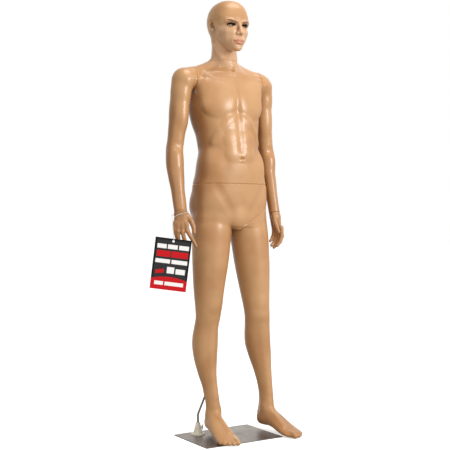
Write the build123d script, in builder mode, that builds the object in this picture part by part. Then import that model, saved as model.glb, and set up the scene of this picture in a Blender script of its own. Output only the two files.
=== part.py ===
from build123d import *
import os
from math import cos, pi, radians, sin, tan

# A full-body display mannequin, feet apart, on a steel base plate.  Millimetres.
# +Z is up, the figure faces -Y, and the origin is the middle of the plate's underside.

# ---- driving dimensions ----
PLATE = (375, 275, 3)            # steel base plate
PLATE_CORNER = 4
WALL = 3                         # thickness of every moulded shell
MOVING_GAP = 0.5                 # air between the two faces of a seam that turns

SHOULDER_SEAM_RIGHT = -147       # X of the flat shoulder seams
SHOULDER_SEAM_LEFT = 177
SHOULDER_AXIS = (50, 1503)       # Y, Z of the shoulder axes
WAIST_HEIGHT = 1069
NECK_CENTRE = (15, 57, 1596)
CROTCH = (32, 34, 883)
HIP_SEAM_ANGLE = 30              # slope of the left leg's seam, rising outwards
WRIST_RIGHT = (-236, -6, 955)
WRIST_LEFT = (246, 8, 950)
FOREARM_TILT = 14                # degrees that the forearms lean forwards

ROD_DIAMETER = 9
ROD_FOOT = (-95, 92)             # where the support rod stands on the plate
ROD_BEND_HEIGHT = 88
ROD_LEAN = (30, -12, 82)         # direction of its upper leg, into the right calf
ROD_TOP_HEIGHT = 240
RUNNING_FIT = 0.08               # radial air round a stud that turns
FIXED_FIT = 0.05                 # radial air round a fitting set in a wall

TAG = (148, 210, 1)              # hang tag, width, height, thickness
TAG_CENTRE = (-37, 36, -219)     # from the right wrist, in hand directions
TAG_ROLL = 7                     # degrees, right side down
TAG_HOLE_DROP = 10.6             # hole centre below the card's top edge
TAG_HOLE_RADIUS = 5
STRING_DIAMETER = 1.8

UPWARD = (Align.CENTER, Align.CENTER, Align.MIN)
os.makedirs("parts", exist_ok=True)


def save(solid, label):
    """Label a finished piece and write it as its own STEP file."""
    solid.label = label
    export_step(solid, f"parts/{label}.step")


# ---- moulded shells: chains of oval sections, lofted, cut at their seams ----
def level(x, y, z, turn=0):
    """A horizontal section plane, its X axis turned about the vertical."""
    return Plane((x, y, z), x_dir=(cos(radians(turn)), sin(radians(turn)), 0), z_dir=(0, 0, 1))


def across_foot(x, y, z):
    """A vertical section plane that looks back along the foot."""
    return Plane((x, y, z), x_dir=(1, 0, 0), z_dir=(0, -1, 0))


def sideways(x, y, z):
    """A vertical section plane that looks along +X."""
    return Plane((x, y, z), x_dir=(0, 1, 0), z_dir=(1, 0, 0))


def ring(place, half_width, half_depth, wall):
    """One oval section, drawn in by the wall."""
    with BuildSketch(place) as section:
        Ellipse(half_width - wall, half_depth - wall)
    return section.sketch.face()


def moulding(chains, seams, wall=0):
    """The lofted body inside the skin by wall; each seam's normal points into the piece."""
    with BuildPart() as body:
        for chain in chains:
            loft(sections=[ring(place, width, depth, wall) for place, width, depth in chain])
        for seam in seams:
            split(bisect_by=seam.offset(wall), keep=Keep.TOP)
    return body.part


def chain_of(plane_kind, rows):
    return [(plane_kind(x, y, z), width, depth) for x, y, z, width, depth in rows]


# ---- joint fittings: a flanged collar in one seam wall, a headed stud in the other ----
FLANGE_THICK = 3
STUD_HEAD = 4
STUD_END_PLAY = 0.5
LARGE = dict(bore=12, collar=16, flange=23, depth=22)      # neck and shoulders
SMALL = dict(bore=5, collar=8, flange=13, depth=12)        # wrists


def round_socket(place, size):
    """Collar through the wall with its flange behind it; place's normal points into the wall."""
    with BuildPart(place) as socket:
        Cylinder(size["collar"], size["depth"], align=UPWARD)
        with Locations((0, 0, WALL)):
            Cylinder(size["flange"], FLANGE_THICK, align=UPWARD)
        Cylinder(size["bore"], size["depth"], align=UPWARD, mode=Mode.SUBTRACT)
    return socket.part


def round_stud(place, size):
    """Stud from behind the opposite wall, through the collar, with a head that keeps it in."""
    back = MOVING_GAP + WALL + FLANGE_THICK
    reach = size["depth"] + STUD_END_PLAY
    with BuildPart(place) as stud:
        with Locations((0, 0, -back)):
            Cylinder(size["flange"], FLANGE_THICK, align=UPWARD)
            Cylinder(size["bore"] - RUNNING_FIT, back + reach, align=UPWARD)
        with Locations((0, 0, reach)):
            Cylinder(size["collar"] - 1, STUD_HEAD, align=UPWARD)
    return stud.part


KEY_WIDTH = 44                   # square key that stops the waist and hip from turning
KEY_CORNER = 6
KEY_DEPTH = 40
KEY_RIM = 14                     # rim of the keyed fittings round the key
KEY_WALL = 3


def keyed_socket(place):
    """Square cup through the wall, flanged behind it and open to the seam."""
    outer = KEY_WIDTH + 2 * KEY_WALL
    with BuildPart() as socket:
        with BuildSketch(place):
            RectangleRounded(outer, outer, KEY_CORNER)
        extrude(amount=KEY_DEPTH + KEY_WALL)
        with BuildSketch(place.offset(WALL)):
            RectangleRounded(outer + 2 * KEY_RIM, outer + 2 * KEY_RIM, KEY_CORNER)
        extrude(amount=FLANGE_THICK)
        with BuildSketch(place):
            RectangleRounded(KEY_WIDTH, KEY_WIDTH, KEY_CORNER)
        extrude(amount=KEY_DEPTH, mode=Mode.SUBTRACT)
    return socket.part


def keyed_peg(place):
    """Square peg that fills the cup, flanged behind the other wall."""
    width = KEY_WIDTH - 2 * FIXED_FIT
    back = WALL + FLANGE_THICK
    with BuildPart() as peg:
        with BuildSketch(place.offset(-back)):
            RectangleRounded(width + 2 * KEY_RIM, width + 2 * KEY_RIM, KEY_CORNER)
        extrude(amount=FLANGE_THICK)
        with BuildSketch(place.offset(-back)):
            RectangleRounded(width, width, KEY_CORNER)
        extrude(amount=back + KEY_DEPTH - 1)
    return peg.part


def round_hole(place, radius):
    """A cutter through one seam wall."""
    with BuildPart(place) as cutter:
        Cylinder(radius + FIXED_FIT, 3 * WALL)
    return cutter.part


def square_hole(place, width):
    with BuildPart() as cutter:
        with BuildSketch(place.offset(-1.5 * WALL)):
            RectangleRounded(width + 2 * FIXED_FIT, width + 2 * FIXED_FIT, KEY_CORNER)
        extrude(amount=3 * WALL)
    return cutter.part


# ---- seam planes; each normal points into the piece that holds the socket ----
def reverse(place):
    return Plane(place.origin, x_dir=place.x_dir, z_dir=-place.z_dir)


neck_seam = Plane(NECK_CENTRE, z_dir=(0, 0, -1))
right_shoulder_seam = Plane((SHOULDER_SEAM_RIGHT, *SHOULDER_AXIS), z_dir=(1, 0, 0))
left_shoulder_seam = Plane((SHOULDER_SEAM_LEFT, *SHOULDER_AXIS), z_dir=(-1, 0, 0))
waist_seam = Plane((30, 38, WAIST_HEIGHT), x_dir=(1, 0, 0), z_dir=(0, 0, 1))
slope = radians(HIP_SEAM_ANGLE)
hip_seam = Plane(CROTCH, x_dir=(cos(slope), 0, sin(slope)), z_dir=(-sin(slope), 0, cos(slope)))
hip_fitting = Plane(
    hip_seam.from_local_coords((104, 0, 0)), x_dir=hip_seam.x_dir, z_dir=hip_seam.z_dir
)
forearm_up = (0, sin(radians(FOREARM_TILT)), cos(radians(FOREARM_TILT)))
right_wrist_seam = Plane(WRIST_RIGHT, x_dir=(1, 0, 0), z_dir=forearm_up)
left_wrist_seam = Plane(WRIST_LEFT, x_dir=(1, 0, 0), z_dir=forearm_up)
sole_plane = Plane.XY.offset(PLATE[2])


# ---- torso ----
TORSO = chain_of(level, [
    (30, 38, 1050, 177, 112),
    (28, 40, 1110, 160, 106),
    (24, 42, 1199, 138, 100),
    (20, 46, 1290, 148, 108),
    (16, 48, 1380, 152, 114),
    (15, 50, 1450, 153, 114),
    (15, 52, 1505, 150, 100),
    (15, 54, 1540, 122, 83),
    (15, 56, 1566, 84, 68),
    (15, 57, 1588, 60, 61),
    (15, 57, 1612, 56, 60),
])
SHOULDER_BEAM = chain_of(sideways, [
    (SHOULDER_SEAM_RIGHT - 8, 50, 1503, 55, 52),
    (-60, 52, 1503, 78, 58),
    (15, 52, 1500, 84, 62),
    (90, 53, 1503, 78, 58),
    (SHOULDER_SEAM_LEFT + 8, 53, 1503, 55, 52),
])
SHOULDER_TRIM = 400              # side of the block cut away past each shoulder seam, from the ribs up


def torso_body(wall=0):
    """The torso inside its skin by wall.  The shoulder seams cut only the shoulders, not the hips."""
    with BuildPart() as body:
        add(moulding([TORSO, SHOULDER_BEAM], [waist_seam, neck_seam], wall))
        for seam in (right_shoulder_seam, left_shoulder_seam):
            with BuildPart(reverse(seam.offset(wall)), mode=Mode.SUBTRACT):
                Box(SHOULDER_TRIM, SHOULDER_TRIM, SHOULDER_TRIM, align=UPWARD)
    return body.part


with BuildPart() as torso_shell:
    add(torso_body())
    add(torso_body(WALL), mode=Mode.SUBTRACT)
    for seam in (neck_seam, right_shoulder_seam, left_shoulder_seam):
        add(round_hole(seam, LARGE["collar"]), mode=Mode.SUBTRACT)
    add(square_hole(waist_seam, KEY_WIDTH + 2 * KEY_WALL), mode=Mode.SUBTRACT)
save(torso_shell.part, "torso_shell")

# ---- head ----
HEAD = chain_of(level, [
    (15, 57, 1586, 56, 60),
    (15, 50, 1610, 55, 66),
    (15, 36, 1632, 54, 80),
    (15, 29, 1665, 60, 90),
    (15, 31, 1705, 71, 93),
    (15, 34, 1750, 80, 96),
    (15, 34, 1790, 76, 91),
    (15, 34, 1820, 63, 77),
    (15, 34, 1838, 47, 59),
    (15, 34, 1848, 30, 39),
    (15, 34, 1852, 15, 19),
])
head_seams = [reverse(neck_seam).offset(MOVING_GAP)]
with BuildPart() as head_shell:
    add(moulding([HEAD], head_seams))
    add(moulding([HEAD[:-1]], head_seams, WALL), mode=Mode.SUBTRACT)
    add(round_hole(neck_seam, LARGE["bore"]), mode=Mode.SUBTRACT)
save(head_shell.part, "head_shell")

# ---- arms ----
ARM_ROWS_RIGHT = [
    (-160, 50, 1560, 14, 22),
    (-176, 50, 1543, 40, 40),
    (-185, 50, 1505, 50, 51),
    (-194, 51, 1450, 44, 48),
    (-202, 53, 1380, 42, 46),
    (-212, 58, 1300, 39, 43),
    (-225, 62, 1215, 37, 40),
    (-230, 50, 1150, 39, 41),
    (-234, 22, 1050, 32, 34),
    (-236, -6, 955, 23, 27),
    (-236, -11, 935, 23, 27),
]
ARM_ROWS_LEFT = [
    (184, 53, 1560, 14, 22),
    (199, 53, 1543, 40, 40),
    (206, 54, 1505, 50, 51),
    (213, 59, 1450, 42, 47),
    (219, 63, 1380, 41, 46),
    (228, 68, 1300, 39, 43),
    (238, 70, 1215, 37, 40),
    (243, 60, 1150, 38, 41),
    (246, 34, 1050, 31, 34),
    (246, 8, 950, 23, 27),
    (246, 3, 930, 23, 27),
]


def arm_shell(rows, shoulder_seam, wrist_seam):
    """Hollow arm between the shoulder seam, which turns, and the wrist seam."""
    seams = [reverse(shoulder_seam).offset(MOVING_GAP), wrist_seam]
    chain = chain_of(level, rows)
    with BuildPart() as shell:
        add(moulding([chain], seams))
        add(moulding([chain[1:]], seams, WALL), mode=Mode.SUBTRACT)
        add(round_hole(shoulder_seam, LARGE["bore"]), mode=Mode.SUBTRACT)
        add(round_hole(wrist_seam, SMALL["collar"]), mode=Mode.SUBTRACT)
    return shell.part


save(arm_shell(ARM_ROWS_RIGHT, right_shoulder_seam, right_wrist_seam), "right_arm_shell")
save(arm_shell(ARM_ROWS_LEFT, left_shoulder_seam, left_wrist_seam), "left_arm_shell")

# ---- hands, in directions of their own: across to the thumb, out of the back of the hand, up ----
PALM = [                         # across, outwards, height, half width, half depth
    (0, -2, 16, 26, 20),
    (0, 0, 0, 26, 20),
    (4, 3, -25, 29, 17),
    (12, 7, -60, 30, 15),
    (15, 9, -86, 29, 11),
]
FINGERS = [                      # root across, tip across, tip height
    (-8, -5, -124),
    (7, 13, -139),
    (22, 36, -147),
    (37, 62, -146),
]
FINGER_ROOT = (9, -78, 8)        # outwards, height, radius
FINGER_TIP = (1, 5.5)            # outwards, radius
THUMB = [(26, 0, -34, 11), (43, 4, -62, 10), (48, 6, -96, 6.5)]
RIGHT_PALM_TURN = -32            # degrees about the vertical from +X to the thumb side
LEFT_PALM_TURN = -80


def hand_place(wrist, turn, side, across, outward, up):
    """A section plane in hand directions; side is +1 on the right hand and -1 on the left."""
    angle = radians(turn)
    across_x, across_y = cos(angle), sin(angle)
    out_x, out_y = side * sin(angle), -side * cos(angle)
    x = wrist[0] + across * across_x + outward * out_x
    y = wrist[1] + across * across_y + outward * out_y
    return level(x, y, wrist[2] + up, turn)


def hand_shell(wrist, seam, turn, side):
    """Hollow palm with solid fingers and thumb."""
    palm = [(hand_place(wrist, turn, side, a, n, up), width, depth) for a, n, up, width, depth in PALM]
    seams = [reverse(seam).offset(MOVING_GAP)]
    out_root, up_root, radius_root = FINGER_ROOT
    out_tip, radius_tip = FINGER_TIP
    digits = []
    for root, tip, up_tip in FINGERS:
        middle_radius = (radius_root + radius_tip) / 2 + 0.6
        middle = ((root + tip) / 2 - 1, out_root, (up_root + up_tip) / 2, middle_radius)
        digits.append([(root, out_root, up_root, radius_root), middle, (tip, out_tip, up_tip, radius_tip)])
    digits.append(THUMB)
    with BuildPart() as shell:
        add(moulding([palm], seams))
        for digit in digits:
            loft(sections=[ring(hand_place(wrist, turn, side, a, n, up), r, r, 0) for a, n, up, r in digit])
        add(moulding([palm[:-1]], seams, WALL), mode=Mode.SUBTRACT)
        add(round_hole(seam, SMALL["bore"]), mode=Mode.SUBTRACT)
    return shell.part


save(hand_shell(WRIST_RIGHT, right_wrist_seam, RIGHT_PALM_TURN, 1), "right_hand_shell")
save(hand_shell(WRIST_LEFT, left_wrist_seam, LEFT_PALM_TURN, -1), "left_hand_shell")

# ---- pelvis with the right leg, and the left leg that lifts off at the hip ----
PELVIS = chain_of(level, [
    (29, 38, 1085, 170, 110),
    (31, 36, 1030, 180, 112),
    (32, 35, 970, 180, 112),
    (32, 34, 920, 174, 106),
    (32, 34, 884, 150, 94),
])
RIGHT_LEG = chain_of(level, [
    (-48, 34, 960, 90, 96),
    (-58, 34, 900, 86, 91),
    (-65, 34, 820, 80, 86),
    (-71, 34, 740, 75, 80),
    (-76, 38, 620, 63, 68),
    (-76, 42, 514, 53, 58),
    (-78, 60, 385, 52, 57),
    (-70, 58, 260, 40, 44),
    (-55, 48, 165, 31, 38),
    (-49, 46, 110, 31, 42),
    (-48, 48, 60, 27, 40),
])
RIGHT_FOOT = chain_of(across_foot, [
    (-47, 92, 52, 15, 16),
    (-47, 70, 56, 29, 30),
    (-50, 20, 56, 34, 40),
    (-56, -40, 38, 39, 32),
    (-62, -100, 19, 46, 20),
    (-62, -150, 11, 42, 13),
    (-62, -168, 9, 30, 7),
])
LEFT_LEG = chain_of(level, [
    (116, 34, 985, 92, 96),
    (123, 33, 900, 87, 92),
    (131, 31, 820, 83, 88),
    (137, 28, 740, 79, 83),
    (142, 16, 620, 65, 69),
    (147, 5, 507, 53, 57),
    (166, 22, 385, 54, 57),
    (190, 28, 260, 41, 45),
    (207, 24, 165, 29, 37),
    (211, 24, 120, 29, 40),
    (212, 27, 72, 26, 38),
])
LEFT_FOOT = chain_of(across_foot, [
    (212, 68, 66, 15, 17),
    (212, 46, 68, 28, 31),
    (212, -4, 64, 33, 40),
    (211, -64, 40, 38, 33),
    (211, -124, 19, 45, 20),
    (212, -174, 11, 41, 13),
    (212, -192, 9, 29, 7),
])

rod_lean = Vector(*ROD_LEAN).normalized()
bend = Vector(*ROD_FOOT, ROD_BEND_HEIGHT)
rod_top = bend + rod_lean * ((ROD_TOP_HEIGHT - ROD_BEND_HEIGHT) / rod_lean.Z)
INSERT_START = 172               # height at which the calf insert begins, inside the shell
INSERT_RADIUS = 8
insert_start = bend + rod_lean * ((INSERT_START - ROD_BEND_HEIGHT) / rod_lean.Z)
insert_axis = Plane(insert_start, z_dir=rod_lean)
insert_length = (rod_top - insert_start).length + 4
rod_radius = ROD_DIAMETER / 2

with BuildPart() as calf_insert:
    with Locations(insert_axis):
        Cylinder(INSERT_RADIUS, insert_length, align=UPWARD)
        Cylinder(rod_radius + FIXED_FIT, insert_length - 4, align=UPWARD, mode=Mode.SUBTRACT)
save(calf_insert.part, "calf_insert")

leg_reach = 60                   # length of the cutter that opens the calf for the rod
with BuildPart() as pelvis_right_leg_shell:
    add(moulding([PELVIS], [reverse(waist_seam), hip_seam]))
    add(moulding([RIGHT_LEG, RIGHT_FOOT], [sole_plane]))
    add(moulding([PELVIS], [reverse(waist_seam), hip_seam], WALL), mode=Mode.SUBTRACT)
    add(moulding([RIGHT_LEG, RIGHT_FOOT[1:-1]], [sole_plane], WALL), mode=Mode.SUBTRACT)
    add(square_hole(waist_seam, KEY_WIDTH), mode=Mode.SUBTRACT)
    add(square_hole(hip_fitting, KEY_WIDTH + 2 * KEY_WALL), mode=Mode.SUBTRACT)
    with Locations(insert_axis):
        Cylinder(INSERT_RADIUS + FIXED_FIT, insert_length + 1, align=UPWARD, mode=Mode.SUBTRACT)
    with Locations(insert_axis.offset(-leg_reach)):
        Cylinder(rod_radius + FIXED_FIT, leg_reach, align=UPWARD, mode=Mode.SUBTRACT)
save(pelvis_right_leg_shell.part, "pelvis_right_leg_shell")

with BuildPart() as left_leg_shell:
    leg_seams = [reverse(hip_seam), sole_plane]
    add(moulding([LEFT_LEG, LEFT_FOOT], leg_seams))
    add(moulding([LEFT_LEG, LEFT_FOOT[1:-1]], leg_seams, WALL), mode=Mode.SUBTRACT)
    add(square_hole(hip_fitting, KEY_WIDTH), mode=Mode.SUBTRACT)
save(left_leg_shell.part, "left_leg_shell")

# ---- fittings inside the seams ----
save(round_socket(neck_seam, LARGE), "neck_socket")
save(round_stud(neck_seam, LARGE), "neck_stud")
for side_name, seam in (("right", right_shoulder_seam), ("left", left_shoulder_seam)):
    save(round_socket(seam, LARGE), f"{side_name}_shoulder_socket")
    save(round_stud(seam, LARGE), f"{side_name}_shoulder_stud")
for side_name, seam in (("right", right_wrist_seam), ("left", left_wrist_seam)):
    save(round_socket(seam, SMALL), f"{side_name}_wrist_socket")
    save(round_stud(seam, SMALL), f"{side_name}_wrist_stud")
save(keyed_socket(waist_seam), "waist_socket")
save(keyed_peg(waist_seam), "waist_peg")
save(keyed_socket(hip_fitting), "left_hip_socket")
save(keyed_peg(hip_fitting), "left_hip_peg")

# ---- base plate, rod socket, rod and thumbscrew ----
SOCKET_FLANGE = (30, 5)          # radius, thickness
SOCKET_CONE = (17, 8.5, 46)      # radius at the flange, radius at the top, height
RIB_COUNT = 10
RIB = (1.6, 2.4)                 # half thickness, stand-out at the flange
SCREW_CIRCLE = 23
SCREW_RADIUS = 2
SCREW_HEAD_RADIUS = 4
SCREW_LENGTH = 7
CLAMP_HEIGHT = 33                # thumbscrew axis above the underside
CLAMP_TURN = -32                 # direction of the thumbscrew about the vertical
CLAMP_BOSS = (6, 16.5)           # radius, reach from the rod's axis
CLAMP_SCREW_RADIUS = 3
CLAMP_HUB = (5, 17.5, 4.5)       # radius, distance from the rod's axis, thickness
CLAMP_WING = (25, 9, 3)          # span, width, thickness
CLAMP_TIP_GAP = 1.2              # the thumbscrew's tip is drawn back from the rod, so both can move

foot_on_plate = Plane((*ROD_FOOT, PLATE[2]), x_dir=(1, 0, 0), z_dir=(0, 0, 1))
clamp_angle = radians(CLAMP_TURN)
clamp_axis = Plane(
    (*ROD_FOOT, CLAMP_HEIGHT), x_dir=(0, 0, 1), z_dir=(cos(clamp_angle), sin(clamp_angle), 0)
)

with BuildPart() as base_plate:
    with BuildSketch():
        RectangleRounded(PLATE[0], PLATE[1], PLATE_CORNER)
    extrude(amount=PLATE[2])
    with Locations(Plane((*ROD_FOOT, 0), z_dir=(0, 0, -1))):
        with PolarLocations(SCREW_CIRCLE, 4, start_angle=45):
            CounterSinkHole(SCREW_RADIUS + FIXED_FIT, SCREW_HEAD_RADIUS, PLATE[2])
save(base_plate.part, "base_plate")

with BuildPart() as rod_socket:
    with BuildSketch(foot_on_plate):
        Circle(SOCKET_FLANGE[0])
    extrude(amount=SOCKET_FLANGE[1])
    fillet(rod_socket.faces().sort_by(Axis.Z)[-1].edges(), 2)
    with Locations(foot_on_plate.offset(SOCKET_FLANGE[1])):
        Cone(*SOCKET_CONE, align=UPWARD)
    for index in range(RIB_COUNT):
        rib_plane = Plane((*ROD_FOOT, PLATE[2] + SOCKET_FLANGE[1]),
                          x_dir=(cos(2 * pi * index / RIB_COUNT), sin(2 * pi * index / RIB_COUNT), 0),
                          z_dir=(sin(2 * pi * index / RIB_COUNT), -cos(2 * pi * index / RIB_COUNT), 0))
        with BuildSketch(rib_plane):
            with BuildLine():
                Polyline((5, 0), (SOCKET_CONE[0] + RIB[1], 0), (SOCKET_CONE[1] + 1, SOCKET_CONE[2] - 4),
                         (5, SOCKET_CONE[2] - 4), close=True)
            make_face()
        extrude(amount=RIB[0] / 2, both=True)
    with Locations(clamp_axis):
        Cylinder(*CLAMP_BOSS, align=UPWARD)
        Cylinder(CLAMP_SCREW_RADIUS + RUNNING_FIT, CLAMP_BOSS[1], align=UPWARD, mode=Mode.SUBTRACT)
    with Locations(foot_on_plate.offset(SOCKET_FLANGE[1])):
        Cylinder(rod_radius + FIXED_FIT, SOCKET_CONE[2], align=UPWARD, mode=Mode.SUBTRACT)
    with Locations(foot_on_plate):
        with PolarLocations(SCREW_CIRCLE, 4, start_angle=45):
            Cylinder(SCREW_RADIUS + FIXED_FIT, SCREW_LENGTH - PLATE[2], align=UPWARD, mode=Mode.SUBTRACT)
save(rod_socket.part, "rod_socket")

HEAD_RECESS = 0.2                # screw heads stay above the floor by this much
with BuildPart() as socket_screws:
    with Locations((*ROD_FOOT, HEAD_RECESS)):
        with PolarLocations(SCREW_CIRCLE, 4, start_angle=45):
            Cylinder(SCREW_RADIUS, SCREW_LENGTH - HEAD_RECESS - 0.3, align=UPWARD)
            Cone(SCREW_HEAD_RADIUS - HEAD_RECESS - 0.2, SCREW_RADIUS, 1.5, align=UPWARD)
save(socket_screws.part, "socket_screws")

with BuildPart() as clamp_thumbscrew:
    with Locations(clamp_axis.offset(rod_radius + CLAMP_TIP_GAP)):
        Cylinder(CLAMP_SCREW_RADIUS, CLAMP_HUB[1] - rod_radius, align=UPWARD)
    with Locations(clamp_axis.offset(CLAMP_HUB[1])):
        Cylinder(CLAMP_HUB[0], CLAMP_HUB[2], align=UPWARD)
    with BuildSketch(clamp_axis.offset(CLAMP_HUB[1] + (CLAMP_HUB[2] - CLAMP_WING[2]) / 2)):
        SlotOverall(CLAMP_WING[0], CLAMP_WING[1])
    extrude(amount=CLAMP_WING[2])
save(clamp_thumbscrew.part, "clamp_thumbscrew")

ROD_BEND_RADIUS = 30
with BuildPart() as support_rod:
    rod_start = (*ROD_FOOT, PLATE[2] + SOCKET_FLANGE[1])
    with BuildLine() as rod_path:
        FilletPolyline(rod_start, bend, rod_top, radius=ROD_BEND_RADIUS)
    with BuildSketch(Plane(rod_start, z_dir=(0, 0, 1))):
        Circle(rod_radius)
    sweep(path=rod_path.wire())
save(support_rod.part, "support_rod")

# ---- hang tag on a string round the right wrist ----
turn = radians(RIGHT_PALM_TURN)
hand_across = Vector(cos(turn), sin(turn), 0)
hand_outward = Vector(sin(turn), -cos(turn), 0)
hand_up = Vector(0, 0, 1)


def from_wrist(across, outward, up):
    return Vector(*WRIST_RIGHT) + hand_across * across + hand_outward * outward + hand_up * up


roll = radians(TAG_ROLL)
tag_right = hand_across * cos(roll) - hand_up * sin(roll)
tag_face = Plane(from_wrist(*TAG_CENTRE), x_dir=tag_right, z_dir=hand_outward)
with BuildPart() as hang_tag:
    with BuildSketch(tag_face.offset(-TAG[2] / 2)):
        Rectangle(TAG[0], TAG[1])
        with Locations((0, TAG[1] / 2 - TAG_HOLE_DROP)):
            Circle(TAG_HOLE_RADIUS, mode=Mode.SUBTRACT)
    extrude(amount=TAG[2])
save(hang_tag.part, "hang_tag")

# The string leaves its knot behind the wrist, goes round the outer side, down in front of the
# card, through the hole, up behind the card and round the inner side back to the knot.
STRING_ROUTE = [
    (-3, -27, -12),
    (-18, -26, -14),
    (-31, -15, -17),
    (-35, 2, -21),
    (-33, 18, -29),
    (-29, 31, -50),
    (-26, 39, -78),
    (-25, 43, -104),
    (-25.2, 43, -122.5),
    (-25.8, 29, -122.5),
    (-27, 28, -104),
    (-29.5, 24.5, -78),
    (-31, 21, -52),
    (-27, 21, -31),
    (-14, 26, -20),
    (3, 28, -14),
    (21, 24, -10),
    (33, 11, -8),
    (34, -6, -8),
    (23, -22, -9),
    (3, -27, -10),
]
MAX_ARC_SHARE = 0.45


def corner_radii(points):
    """Each corner's arc is as large as the shorter of its two runs allows."""
    radii = []
    for before, corner, after in zip(points, points[1:], points[2:]):
        run_in, run_out = corner - before, after - corner
        half_turn = radians(run_in.get_angle(run_out)) / 2
        radii.append(MAX_ARC_SHARE * min(run_in.length, run_out.length) / tan(half_turn))
    return radii


string_points = [from_wrist(*point) for point in STRING_ROUTE]
string_radii = corner_radii(string_points)
with BuildPart() as tag_string:
    with BuildLine() as string_path:
        FilletPolyline(*string_points, radius=string_radii)
    with BuildSketch(Plane(string_points[0], z_dir=string_points[1] - string_points[0])):
        Circle(STRING_DIAMETER / 2)
    sweep(path=string_path.wire())
save(tag_string.part, "tag_string")
print("string radii", [round(radius, 1) for radius in string_radii])
string_length = string_path.wire().length
string_volume = string_length * pi * (STRING_DIAMETER / 2) ** 2
print("string length", round(string_length), "volume ratio", round(tag_string.part.volume / string_volume, 4))

KNOT = (5, 4.6, 5)               # across, outward, up; it fills the space between the string's ends
with BuildPart() as string_knot:
    with BuildSketch(Plane(from_wrist(0, -27, -11), x_dir=hand_across, z_dir=hand_up).offset(-KNOT[2] / 2)):
        Rectangle(KNOT[0], KNOT[1])
    extrude(amount=KNOT[2])
    fillet(string_knot.edges(), 0.8)
save(string_knot.part, "string_knot")
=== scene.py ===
import math

import bmesh
import bpy
import numpy as np
from mathutils import Euler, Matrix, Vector


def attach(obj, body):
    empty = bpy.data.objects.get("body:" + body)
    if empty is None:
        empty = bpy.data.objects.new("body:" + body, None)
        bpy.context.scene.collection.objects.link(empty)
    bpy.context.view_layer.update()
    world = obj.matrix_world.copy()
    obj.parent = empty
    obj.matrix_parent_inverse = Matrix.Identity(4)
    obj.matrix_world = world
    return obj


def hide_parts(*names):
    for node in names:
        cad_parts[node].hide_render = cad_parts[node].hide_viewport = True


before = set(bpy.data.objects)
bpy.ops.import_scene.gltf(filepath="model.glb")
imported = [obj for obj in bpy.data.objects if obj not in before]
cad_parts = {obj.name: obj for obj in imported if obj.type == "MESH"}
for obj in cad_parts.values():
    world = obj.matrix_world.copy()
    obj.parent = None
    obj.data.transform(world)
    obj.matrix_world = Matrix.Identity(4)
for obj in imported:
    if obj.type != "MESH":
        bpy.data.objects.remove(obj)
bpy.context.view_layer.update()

# The shells of the mannequin are modelled here as clay: rounded forms joined and cut on a grid, in
# millimetres, then skinned, cut at the CAD seams and turned into metres.  +Z is up, the figure faces -Y.

MM = 0.001


# ======================================================================= camera, light and floor
VIEW_ANGLE = math.radians(-32)       # the camera stands to the figure's right of its front
CAMERA_DISTANCE = 3.80
CAMERA_HEIGHT = 0.896
CAMERA_SIDE_STEP = -0.0138
FOCAL_PIXELS = 896
IMAGE_PIXELS = 450
SENSOR = 36.0


def make_camera():
    data = bpy.data.cameras.new("camera")
    data.sensor_width = SENSOR
    data.lens = FOCAL_PIXELS / IMAGE_PIXELS * SENSOR
    camera = bpy.data.objects.new("camera", data)
    bpy.context.scene.collection.objects.link(camera)
    away = Vector((math.sin(VIEW_ANGLE), -math.cos(VIEW_ANGLE), 0))
    right = Vector((math.cos(VIEW_ANGLE), math.sin(VIEW_ANGLE), 0))
    camera.location = away * CAMERA_DISTANCE + right * CAMERA_SIDE_STEP + Vector((0, 0, CAMERA_HEIGHT))
    camera.rotation_euler = (math.pi / 2, 0, VIEW_ANGLE)
    bpy.context.scene.camera = camera


def area_light(name, place, aim, size, power, colour=(1, 1, 1), mirrored=True):
    data = bpy.data.lights.new(name, "AREA")
    data.shape = "RECTANGLE"
    data.size, data.size_y = size
    data.energy = power
    data.color = colour
    light = bpy.data.objects.new(name, data)
    bpy.context.scene.collection.objects.link(light)
    light.location = place
    light.rotation_euler = (Vector(aim) - Vector(place)).to_track_quat("-Z", "Y").to_euler()
    light.visible_glossy = mirrored


def glow(name, colour, strength, reflects=0.0):
    """A stage material that shines by itself and may also take light and shadow."""
    material = bpy.data.materials.new(name)
    material.use_nodes = True
    shader = material.node_tree.nodes["Principled BSDF"]
    shader.inputs["Base Color"].default_value = (reflects, reflects, reflects, 1)
    shader.inputs["Roughness"].default_value = 0.9
    shader.inputs["Specular IOR Level"].default_value = 0.0
    shader.inputs["Emission Color"].default_value = colour
    shader.inputs["Emission Strength"].default_value = strength
    return material


def soft_sky():
    """Studio light by direction, the sum of a few broad lobes."""
    world = bpy.data.worlds.new("studio")
    bpy.context.scene.world = world
    world.use_nodes = True
    tree = world.node_tree
    background = tree.nodes["Background"]
    direction = tree.nodes.new("ShaderNodeTexCoord").outputs["Generated"]
    strength = None
    for aim, start, end, low, high in SKY_LOBES:
        dot = tree.nodes.new("ShaderNodeVectorMath")
        dot.operation = "DOT_PRODUCT"
        tree.links.new(direction, dot.inputs[0])
        dot.inputs[1].default_value = Vector(aim).normalized()
        ease = tree.nodes.new("ShaderNodeMapRange")
        ease.interpolation_type = "SMOOTHSTEP"
        tree.links.new(dot.outputs["Value"], ease.inputs[0])
        for socket, number in zip(list(ease.inputs)[1:5], (start, end, low, high)):
            socket.default_value = number
        if strength is None:
            strength = ease.outputs[0]
        else:
            total = tree.nodes.new("ShaderNodeMath")
            tree.links.new(strength, total.inputs[0])
            tree.links.new(ease.outputs[0], total.inputs[1])
            strength = total.outputs[0]
    background.inputs["Color"].default_value = (1.0, 0.98, 0.95, 1)
    tree.links.new(strength, background.inputs["Strength"])


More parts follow.
